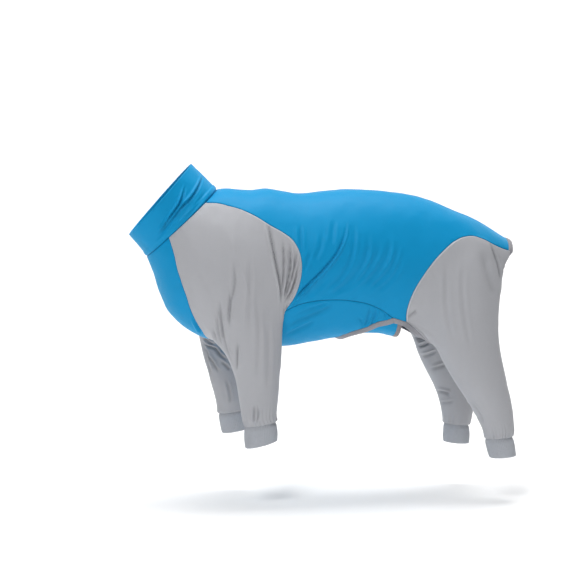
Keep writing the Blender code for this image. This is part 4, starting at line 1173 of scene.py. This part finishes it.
def hind_cloth(name, seams, fine, side, rings, cuff, material, seed):
    """Hind leg from the hip seam and its bound inner edge down over its cuff."""
    loop, binding_ways, upper = hind_parts(seams, side, 1)
    exact, _, fine_upper = hind_parts(fine, side, FINE)
    angles = spread_over([row[0] for row in HIND_LOOP], HIND_LOOP_STEPS)
    lean = spread_over([row[1] for row in HIND_LOOP], HIND_LOOP_STEPS)[:, None]
    leg = (HIND_DROP, HIND_LEG_WIDTH, HIND_LEG_THICKNESS, HIND_STANCE)
    top = ring(rings[0], angles, side, *leg)
    hip = trunk_normal(seams["hind"]) * (1.0, -side, 1.0)
    on_body = len(upper)
    ways = np.empty(loop.shape)
    ways[:on_body] = loop_ways(upper, hip, top[:on_body], top[:on_body], lean[:on_body])
    straight = unit(top[on_body:] - loop[on_body:])
    ways[on_body:] = -binding_ways[1:-1] * (1.0 - lean[on_body:]) + straight * lean[on_body:]
    ways = unit(ways)
    cuff_top = cuff_ring(cuff, 0.0, angles, side, hind_cuff_sizes())
    coarse = relaxed(leg_grid(loop, ways, angles, HIND_ROWS, rings, side, leg, cuff_top), LEG_EASING)
    shift = (rings[0][1] - HIND_LEFT_RINGS[0][1]) * BODY_LENGTH
    inner = (rings[0][1] - HIND_RIGHT_RINGS[0][1]) * BODY_LENGTH
    first = fine_leg(coarse, exact, len(coarse) - 1)
    own = facing_out(first, grid_normals(first, True), first.mean(axis=1, keepdims=True))[1]
    own[: len(fine_upper)] = trunk_normal(fine["hind"]) * (1.0, -side, 1.0)
    return leg_surface(name, coarse, exact, own, HIND_FOLDS, side, shift, material, seed,
                       FAR_HIND_FOLDS, inner), coarse


def collar_cloth(seams, material):
    """Doubled collar with a raised seam band, two slanting folds and a rolled rim."""
    left = joined(seams["nape"], seams["shoulder"])[:-1]
    around = np.concatenate([left, seams["throat"], mirrored(left)[::-1][:-1]])
    base = trunk(around)
    back, belly, half, _, _ = rib(np.array([0.0]))
    lean = np.radians([NAPE_LEAN, THROAT_LEAN])
    top = np.array([math.cos(lean[0]), 0.0, math.sin(lean[0])]) * COLLAR_BACK
    low = np.array([math.cos(lean[1]), 0.0, math.sin(lean[1])]) * COLLAR_FRONT
    height = (base[:, 2] - belly[0, 1]) / (back[0, 1] - belly[0, 1])
    narrow = COLLAR_WIDTH / (2.0 * half[0])
    shares = np.concatenate([np.linspace(0.0, 0.25, 22), np.linspace(0.25, 1.0, 34)[1:]])
    rows = []
    for share in shares:
        row = base + (low + (top - low) * height[:, None]) * share
        row[:, 1] = base[:, 1] * (1.0 + (narrow - 1.0) * share)
        rows.append(row)
    grid = np.array(rows)
    normals = facing_out(grid, grid_normals(grid, True), grid.mean(axis=1, keepdims=True))
    shared = np.clip(1.0 - np.arange(len(grid)) / 4.0, 0.0, 1.0)[:, None, None]
    normals = unit(normals * (1.0 - shared) + trunk_normal(around)[None] * shared)
    down = np.linalg.norm(np.diff(grid, axis=0), axis=2)
    away = np.concatenate([np.zeros((1, grid.shape[1])), np.cumsum(down, axis=0)])
    left_over = away[-1:] - away
    side = np.linalg.norm(np.roll(base, -1, axis=0) - base, axis=1)
    along = np.concatenate([[0.0], np.cumsum(side)[:-1]])[None, :] + 0.0 * away
    made = both_sides(grid, normals, COLLAR_FOLDS, 0.0, 31)
    # deep is the painted shade down the collar's fold valleys; the inner layer gets none
    bumps, deep = made * (0.45 + 0.55 * smooth_step(left_over / 0.012)) * smooth_step(away / 0.006)
    bumps = bumps + drape_noise(grid, 3, 1.1) * smooth_step(away / 0.012)
    rise, end, fall = BAND
    band = smooth_step(away / 0.0022) * (1.0 - smooth_step((away - end) / fall))
    bumps = bumps + rise * band * (0.35 + 0.65 * smooth_step(height))[None]
    bumps = bumps + pucker(along, away, 0.00035, 6.0) + seam_height(away, 0.0)
    grid = grid + normals * bumps[..., None]
    rim_way = unit(grid[-1] - grid[-4])
    outer = normals[-1]
    turn = []
    for angle in np.linspace(0.0, math.pi, 9)[1:-1]:
        turn.append(grid[-1] - outer * COLLAR_CLOTH / 2.0
                    + (outer * math.cos(angle) + rim_way * math.sin(angle)) * COLLAR_CLOTH / 2.0)
    inside = (grid - normals * COLLAR_CLOTH)[::-1]
    whole = np.concatenate([grid, np.array(turn), inside])
    turned = np.concatenate([normals, np.repeat(normals[-1:], len(turn), axis=0), -normals[::-1]])
    length = np.concatenate([away, np.repeat(away[-1:], len(turn), axis=0), away[::-1]])
    deep = np.concatenate([deep, np.repeat(deep[-1:], len(turn), axis=0), 0.0 * deep])
    return surface("collar_cloth", whole, turned, material, 0.0, True, True, edge=length, inside=deep)


def cuff_cloth(name, side, cuff, sizes, ribs, material, seed):
    """Doubled rib-knit cuff whose top is tucked into the leg."""
    count = ribs * 4
    turn = np.arange(count) / count * math.tau
    angles = np.degrees(turn)
    wave = np.cos(turn * ribs + 0.5 * np.sin(turn * 4.0 + seed))
    shares = np.linspace(-0.10, 1.0, 16)
    rows = []
    inner = []
    for share in shares:
        row = cuff_ring(cuff, share, angles, side, sizes)
        centre = row.mean(axis=0)
        out = unit((row - centre) * (1.0, 1.0, 0.2))
        swell = CUFF_SWELL * math.sin(min(max(share, 0.0), 1.0) * math.pi)
        swell = swell - CUFF_TUCK * (1.0 - smooth_step(share / 0.16))
        wobble = 0.0007 * soft_noise(row, 0.018, seed)
        rows.append(row + out * (swell + wobble + RIB_DEPTH * (wave - 0.4))[:, None])
        inner.append(row + out * (swell + wobble - CUFF_CLOTH_WALL)[:, None])
    grid = np.array(rows)
    normals = facing_out(grid, grid_normals(grid, True), grid.mean(axis=1, keepdims=True))
    low = unit(grid[-1] - grid[-3])
    inside = np.array(inner)[::-1]
    middle = (grid[-1] + inside[0]) / 2.0
    reach = (grid[-1] - inside[0]) / 2.0
    turned = []
    for angle in np.linspace(0.0, math.pi, 8)[1:-1]:
        turned.append(middle + reach * math.cos(angle) + low * math.sin(angle) * CUFF_CLOTH_WALL / 2.0)
    whole = np.concatenate([grid, np.array(turned), inside])
    ways = np.concatenate([normals, np.repeat(normals[-1:], len(turned), axis=0), -normals[::-1]])
    return surface(name, whole, ways, material, 0.0, True, True)


def tape(name, line, ways, normals, width, thick, material, seed, closed=True):
    """Folded band sewn over an edge, rounded on both sides."""
    rounds = 16
    turn = np.arange(rounds) / rounds * math.tau
    flat = np.sign(np.cos(turn)) * np.abs(np.cos(turn)) ** TAPE_ROUNDING[0]
    tall = np.sign(np.sin(turn)) * np.abs(np.sin(turn)) ** TAPE_ROUNDING[1]
    step = np.linalg.norm(np.roll(line, -1, axis=0) - line, axis=1)
    along = np.concatenate([[0.0], np.cumsum(step)[:-1]])
    ripple = 0.00035 * np.sin(along / 0.0085 * math.tau + 2.0 * np.sin(along / 0.06 * math.tau + seed))
    ripple = ripple + 0.0006 * soft_noise(line, 0.03, seed)
    rows = []
    for k in range(rounds):
        outer = 0.5 + 0.5 * flat[k]
        reach = outer * width - EDGE_OVERLAP
        rise = tall[k] * thick / 2.0
        rows.append(line + ways * reach + normals * (rise + ripple * (0.4 + 0.6 * outer))[:, None])
    grid = np.array(rows)
    out = facing_out(grid, grid_normals_closed(grid), grid.mean(axis=0, keepdims=True))
    length = np.repeat(((0.5 + 0.5 * flat) * width)[:, None], len(line), axis=1)
    lengths = np.repeat(along[None], rounds, axis=0)
    return surface(name, grid, out, material, 0.0, closed, True, edge=length, along=lengths)


def grid_normals_closed(grid):
    """Normals of a grid that closes on itself both ways."""
    down = np.roll(grid, -1, axis=0) - np.roll(grid, 1, axis=0)
    side = np.roll(grid, -1, axis=1) - np.roll(grid, 1, axis=1)
    return unit(np.cross(down, side))


class Wire:
    """An output in a material's node tree that takes part in plain sums."""

    def __init__(self, board, socket):
        self.board = board
        self.socket = socket

    def __add__(self, other):
        return self.board.sum("ADD", self, other)

    def __sub__(self, other):
        return self.board.sum("SUBTRACT", self, other)

    def __mul__(self, other):
        return self.board.sum("MULTIPLY", self, other)

    def __truediv__(self, other):
        return self.board.sum("DIVIDE", self, other)

    def __pow__(self, other):
        return self.board.sum("POWER", self, other)

    def __rsub__(self, other):
        return self.board.sum("SUBTRACT", other, self)

    def __rtruediv__(self, other):
        return self.board.sum("DIVIDE", other, self)

    __radd__ = __add__
    __rmul__ = __mul__


class Board:
    """One material and the nodes on it."""

    def __init__(self, name):
        self.material = bpy.data.materials.new(name)
        self.material.use_nodes = True
        self.tree = self.material.node_tree
        self.shader = self.tree.nodes["Principled BSDF"]

    def node(self, kind, settings=None, inputs=None, output=0):
        made = self.tree.nodes.new(kind)
        for key, value in (settings or {}).items():
            setattr(made, key, value)
        for key, value in (inputs or {}).items():
            self.feed(made.inputs[key], value)
        return Wire(self, made.outputs[output])

    def feed(self, socket, value):
        if isinstance(value, Wire):
            self.tree.links.new(value.socket, socket)
        else:
            socket.default_value = value

    def sum(self, operation, first, second=0.0, clamp=False):
        settings = {"operation": operation, "use_clamp": clamp}
        return self.node("ShaderNodeMath", settings, {0: first, 1: second})

    def wave(self, value):
        return self.sum("COSINE", value * math.tau)

    def clamped(self, value):
        return self.sum("ADD", value, 0.0, True)

    def band(self, value, low, high):
        """1 where the value is well above high and 0 below low."""
        inputs = {0: value, 1: low, 2: high, 3: 0.0, 4: 1.0}
        return self.node("ShaderNodeMapRange", {"interpolation_type": "SMOOTHSTEP"}, inputs)

    def noise(self, scale, detail, where=None):
        vector = where or self.node("ShaderNodeTexCoord", output=3)
        inputs = {"Vector": vector, "Scale": scale, "Detail": detail, "Roughness": 0.55}
        return self.node("ShaderNodeTexNoise", None, inputs)

    def mix(self, factor, first, second, blend="MIX"):
        settings = {"data_type": "RGBA", "blend_type": blend}
        return self.node("ShaderNodeMix", settings, {0: factor, 6: first, 7: second}, 2)

    def attribute(self, name):
        return self.node("ShaderNodeAttribute", {"attribute_name": name}, None, 2)

    def map(self, name="cloth_map"):
        both = self.node("ShaderNodeUVMap", {"uv_map": name})
        parts = self.tree.nodes.new("ShaderNodeSeparateXYZ")
        self.tree.links.new(both.socket, parts.inputs[0])
        return Wire(self, parts.outputs[0]), Wire(self, parts.outputs[1])

    def use(self, colour, roughness, height=None, distance=0.0002, strength=1.0, sheen=0.0,
            tint=None):
        self.feed(self.shader.inputs["Base Color"], colour)
        self.feed(self.shader.inputs["Roughness"], roughness)
        self.feed(self.shader.inputs["Sheen Weight"], sheen)
        self.feed(self.shader.inputs["Sheen Roughness"], 0.5)
        self.feed(self.shader.inputs["Specular IOR Level"], GLOSS)
        if tint:
            self.feed(self.shader.inputs["Sheen Tint"], (*tint, 1.0))
        if height is not None:
            inputs = {"Height": height, "Distance": distance, "Strength": strength}
            self.feed(self.shader.inputs["Normal"], self.node("ShaderNodeBump", None, inputs))
        return self.material


def shade(colour, factor):
    return (colour[0] * factor, colour[1] * factor, colour[2] * factor, 1.0)


def knit_stitches(board, wale, course):
    """Height of a plain knit: columns of small slanted loops."""
    u, v = board.map()
    across = u / wale
    lean = board.sum("PINGPONG", across, 0.5)
    loops = board.wave(v / course + lean * 1.1)
    columns = board.wave(across * 2.0)
    return loops * 0.5 + columns * 0.35


def plain_knit(name, colour, seam_edge_highlight, sheen, tint):
    """Smooth stretch knit with painted shade in its seam grooves and down its fold valleys, and a painted
    highlight along a seam's turned edge where its colour is given.
    """
    board = Board(name)
    broad = board.noise(9.0, 2.0)
    fine = board.noise(160.0, 3.0)
    tone = (broad - 0.5) * 0.10 + (fine - 0.5) * 0.10
    base = board.mix(board.clamped(0.5 + tone * 2.0), shade(colour, 0.90), shade(colour, 1.10))
    away = board.attribute("seam_distance")
    # Painted shade in the seam groove: darker within about 1.4 mm of a seam
    groove_painted_shade = 1.0 - board.band(away, 0.0002, 0.0014)
    base = board.mix(groove_painted_shade * (0.25 if seam_edge_highlight else 0.7), base, shade(colour, 0.35))
    # Painted highlight on the turned edge of a seam: a pale line from 0.3 to 2.4 mm beside it
    if seam_edge_highlight:
        line = board.band(away, 0.0003, 0.0009) * (1.0 - board.band(away, 0.0016, 0.0024))
        base = board.mix(line * 0.6, base, shade(seam_edge_highlight, 1.0))
    # Painted shade down the fold valleys, read from the fold attribute
    fold = board.clamped(board.attribute("fold_painted_shade"))
    fold_shade = FOLD_SHADE if seam_edge_highlight else 0.5 * FOLD_SHADE
    base = board.mix(fold * fold_shade, base, shade(colour, 0.30))
    roughness = 0.50 + (fine - 0.5) * 0.16
    height = knit_stitches(board, 0.0011, 0.0008) + fine * 0.3
    return board.use(base, roughness, height, 0.0001, 0.25, sheen, tint)


def rib_knit(name, colour):
    board = Board(name)
    u, v = board.map()
    fine = board.noise(220.0, 3.0)
    broad = board.noise(30.0, 2.0)
    stitch = board.wave(v / 0.0011) * 0.5 + board.wave(u / 0.00135) * 0.5
    tone = board.clamped(0.5 + (broad - 0.5) * 0.5 + (fine - 0.5) * 0.5)
    base = board.mix(tone, shade(colour, 0.84), shade(colour, 1.14))
    return board.use(base, 0.78 + (fine - 0.5) * 0.1, stitch + fine, 0.00018, 0.5, 0.2)


def tape_knit(name, colour):
    """Folded binding with a row of stitches near its inner edge."""
    board = Board(name)
    across = board.attribute("seam_distance")
    along = board.attribute("seam_length")
    fine = board.noise(260.0, 3.0)
    line = board.band(across, 0.0012, 0.0017) * (1.0 - board.band(across, 0.0022, 0.0027))
    gaps = board.band(board.wave(along / 0.0028), -0.5, 0.1)
    thread = line * gaps
    base = board.mix(board.clamped(0.5 + (fine - 0.5) * 0.9), shade(colour, 0.86), shade(colour, 1.12))
    base = board.mix(line * 0.45, base, shade(colour, 0.55))
    base = board.mix(thread * 0.8, base, shade(colour, 1.45))
    height = thread * 2.0 - line * 1.4 + fine * 0.7 + board.wave(along / 0.0011) * 0.25
    return board.use(base, 0.72 + (fine - 0.5) * 0.1, height, 0.0003, 0.6, 0.15)


def plain_finish(name, colour, roughness, glow):
    board = Board(name)
    board.feed(board.shader.inputs["Emission Color"], (1.0, 1.0, 1.0, 1.0))
    board.feed(board.shader.inputs["Emission Strength"], glow)
    return board.use((*colour, 1.0), roughness + (board.noise(3.0, 1.0) - 0.5) * 0.05)


def outward(places, inside):
    """Directions along the body form, square to a line on it and away from a point."""
    points = trunk(places)
    tangent = unit(np.gradient(points, axis=0))
    normals = trunk_normal(places)
    ways = np.cross(normals, tangent)
    sign = np.sign(np.median(np.sum(ways * (points - inside), axis=1)))
    return unit(ways * sign), normals


def eased_along(rows, reach):
    """Rows eased over their neighbours on both sides, round a closed line."""
    total = np.zeros(rows.shape)
    for k in range(-reach, reach + 1):
        total = total + np.roll(rows, k, axis=0) * (1.0 - abs(k) / (reach + 1.0))
    return total


def opening_tape(fine, leg, material):
    """Binding round the opening under the belly and the rear."""
    centre = len(fine["arch"]) // 2
    middle = trunk(np.array([[0.40, 1.0]]))[0]
    arch_ways, arch_normals = outward(fine["arch"], middle)
    arch_ways = unit(arch_ways + ARCH_BINDING_DROP * arch_normals)
    high = trunk(np.array([[0.75, 0.3]]))[0]
    low_ways, _ = outward(fine["lower"], high)
    edge, table_ways = hind_edge_line(fine, LEFT, FINE)
    inner = leg[1]
    starts = len(fine["hind"]) - 1
    knots = np.arange(starts, leg.shape[1] * FINE + 1) / FINE
    steps = spline(inner, knots % leg.shape[1], True)[: len(edge)]
    leg_ways = beyond(edge, steps)
    share = smooth_step(np.linspace(0.0, 1.0, len(edge)) / 0.30)[:, None]
    leg_ways = unit(leg_ways * share + table_ways * (1.0 - share))
    front = trunk(np.array([[0.90, 0.0]]))[0]
    rump_ways, _ = outward(fine["rump"], front)
    arch = trunk(fine["arch"])[centre::-1]
    line = joined(arch, trunk(fine["lower"]), edge[::-1], trunk(fine["rump"])[::-1])
    ways = [arch_ways[centre::-1][:-1], low_ways[:-1], leg_ways[::-1][:-1], rump_ways[::-1]]
    ways = np.concatenate(ways)
    whole = np.concatenate([line, (line * MIRROR)[::-1][1:-1]])
    ways = np.concatenate([ways, (ways * MIRROR)[::-1][1:-1]])
    whole = eased_along(whole, 2) / 3.0
    ways = unit(eased_along(ways, 9))
    tangent = unit(np.roll(whole, -1, axis=0) - np.roll(whole, 1, axis=0))
    ways = unit(ways - tangent * np.sum(ways * tangent, axis=1, keepdims=True))
    normals = unit(np.cross(ways, tangent))
    return tape("opening_tape", whole, ways, normals, BINDING_WIDTH + EDGE_OVERLAP, 0.0030, material, 7)


def flap_pieces(blue, edge_grey):
    """Flap across the belly behind the arch, and its bound rear edge."""
    rear = rib(np.array([FLAP_PLACE[1], FLAP_PLACE[1] + PLACE_STEP]))[1][:, 0]
    length = (rear[1] - rear[0]) / PLACE_STEP
    seam_station = FLAP_PLACE[1] - FLAP_BINDING_WIDTH / length
    grid, normals = flap_grid(FLAP_PLACE[0], seam_station + 0.002 / length, (34, 90))
    _, bottom, left, right = edge_ways(grid)
    away = np.minimum(bottom, np.minimum(left, right))
    height = drape_noise(grid, 9, 0.9) + pucker(left, bottom, 0.0004, 8.0)
    grid = grid + normals * height[..., None]
    flap = surface("flap_cloth", grid, normals, blue, CLOTH, edge=away + 0.003, inside=0.0 * away)
    line, normals = flap_grid(seam_station, FLAP_PLACE[1], (1, 120))
    ways = unit(line[1] - line[0])
    width = FLAP_BINDING_WIDTH + 0.001
    band = tape("flap_tape", line[0], ways, normals[0], width, 0.0026, edge_grey, 8, False)
    return flap, band


def backdrop():
    """Pale floor that sweeps up behind the suit."""
    profile = [(-4.0, FLOOR), (1.2, FLOOR)]
    for k in range(1, 13):
        arc = k / 12.0 * math.pi / 2.0
        profile.append((1.2 + SWEEP * math.sin(arc), FLOOR + SWEEP * (1.0 - math.cos(arc))))
    profile.append((1.2 + SWEEP, FLOOR + 6.0))
    rows = np.array(profile)
    xs = np.linspace(-6.0, 6.0, 5)
    grid = np.array([[(x, y, z) for x in xs] for y, z in rows])
    mesh = bpy.data.meshes.new("studio_floor")
    corners = [i * 5 + j for i in range(len(rows) - 1) for j in range(4)]
    faces = [(k, k + 1, k + 6, k + 5) for k in corners]
    mesh.from_pydata([tuple(p) for p in grid.reshape(-1, 3)], [], faces)
    mesh.shade_smooth()
    mesh.materials.append(plain_finish("floor_white", (0.93, 0.93, 0.93), 0.85, FLOOR_GLOW))
    floor = bpy.data.objects.new("studio_floor", mesh)
    bpy.context.scene.collection.objects.link(floor)


def lamp(name, place, aim, size, power):
    light = bpy.data.lights.new(name, "AREA")
    light.shape = "RECTANGLE"
    light.size, light.size_y = size
    light.energy = power
    lamp_object = bpy.data.objects.new(name, light)
    way = Vector(place) - Vector(aim)
    turn = way.to_track_quat("Z", "Y").to_matrix().to_4x4()
    lamp_object.matrix_world = Matrix.Translation(place) @ turn
    bpy.context.scene.collection.objects.link(lamp_object)


def studio():
    scene = bpy.context.scene
    world = bpy.data.worlds.new("studio_light")
    world.use_nodes = True
    world.node_tree.nodes["Background"].inputs["Color"].default_value = (1.0, 1.0, 1.0, 1.0)
    world.node_tree.nodes["Background"].inputs["Strength"].default_value = WORLD_LIGHT
    scene.world = world
    for row in LAMPS:
        lamp(*row)
    scene.view_settings.view_transform = "Standard"
    eye, right, up, back = camera_frame()
    data = bpy.data.cameras.new("camera")
    data.lens = LENS
    data.sensor_width = SENSOR
    camera = bpy.data.objects.new("camera", data)
    place = Matrix.Identity(4)
    for i in range(3):
        place[i][0], place[i][1], place[i][2], place[i][3] = right[i], up[i], back[i], eye[i]
    camera.matrix_world = place
    scene.collection.objects.link(camera)
    scene.camera = camera


# Floor level and radius of its sweep, strength of the light from all round, and lamps: name,
# place, aim, size and power
FLOOR = -0.56
SWEEP = 1.4
WORLD_LIGHT = 0.15
LAMPS = (
    ("key_light", (-0.9, -2.1, 2.1), (0.1, 0.0, -0.2), (0.9, 0.9), 42.0),
    ("top_light", (0.1, 0.2, 2.6), (0.1, 0.0, -0.1), (2.0, 1.2), 74.0),
    ("rear_light", (2.2, 1.6, 1.2), (0.1, 0.0, -0.2), (1.4, 1.6), 10.0),
)

# Shine of the cloth, painted shade down in a fold, glow of the floor, and the scene's own colours
GLOSS = 0.14
FOLD_SHADE = 0.7
FLOOR_GLOW = 0.20
BLUE_CLOTH = (0.002, 0.275, 0.565)
CUFF_CLOTH = tuple(1.25 * value for value in CUFF_GREY)

blue = plain_knit("blue_knit", BLUE_CLOTH, None, 0.30, (0.10, 0.62, 1.0))
# The third argument is the colour of the painted highlight along the seams' turned edge
grey = plain_knit("grey_knit", GREY, (0.60, 0.65, 0.70), 0.12, (0.9, 0.95, 1.0))
cuff_grey = rib_knit("cuff_knit", CUFF_CLOTH)
edge_grey = tape_knit("binding_knit", BINDING_GREY)
flap_grey = tape_knit("flap_edge_knit", FLAP_GREY)
seams = body_seams(1)
fine = body_seams(FINE)

wear(back_cloth(fine, blue), "back_panel")
wear(underside_cloth(fine, blue), "underside_panel")
wear(collar_cloth(fine, blue), "collar")
SIDES = (
    ("left", LEFT, FRONT_LEFT_RINGS, FRONT_LEFT_CUFF, HIND_LEFT_RINGS, HIND_LEFT_CUFF),
    ("right", RIGHT, FRONT_RIGHT_RINGS, FRONT_RIGHT_CUFF, HIND_RIGHT_RINGS, HIND_RIGHT_CUFF),
)
for number, (word, side, front, front_cuff, hind, hind_cuff) in enumerate(SIDES):
    piece = sleeve_cloth("sleeve_cloth_" + word, seams, fine, side, front, front_cuff, grey, 50 + number)
    wear(piece, "front_sleeve_" + word)
    piece, coarse = hind_cloth("hind_cloth_" + word, seams, fine, side, hind, hind_cuff, grey,
                               60 + number)
    if side == LEFT:
        left_leg = coarse
    wear(piece, "hind_leg_" + word)
    piece = cuff_cloth("front_rib_" + word, side, front_cuff, front_cuff_sizes(), 56, cuff_grey, 70 + number)
    wear(piece, "front_cuff_" + word)
    piece = cuff_cloth("hind_rib_" + word, side, hind_cuff, hind_cuff_sizes(), 50, cuff_grey, 80 + number)
    wear(piece, "hind_cuff_" + word)
wear(opening_tape(fine, left_leg, edge_grey), "opening_binding")
flap, band = flap_pieces(blue, flap_grey)
wear(flap, "belly_flap")
wear(band, "flap_binding")

backdrop()
studio()
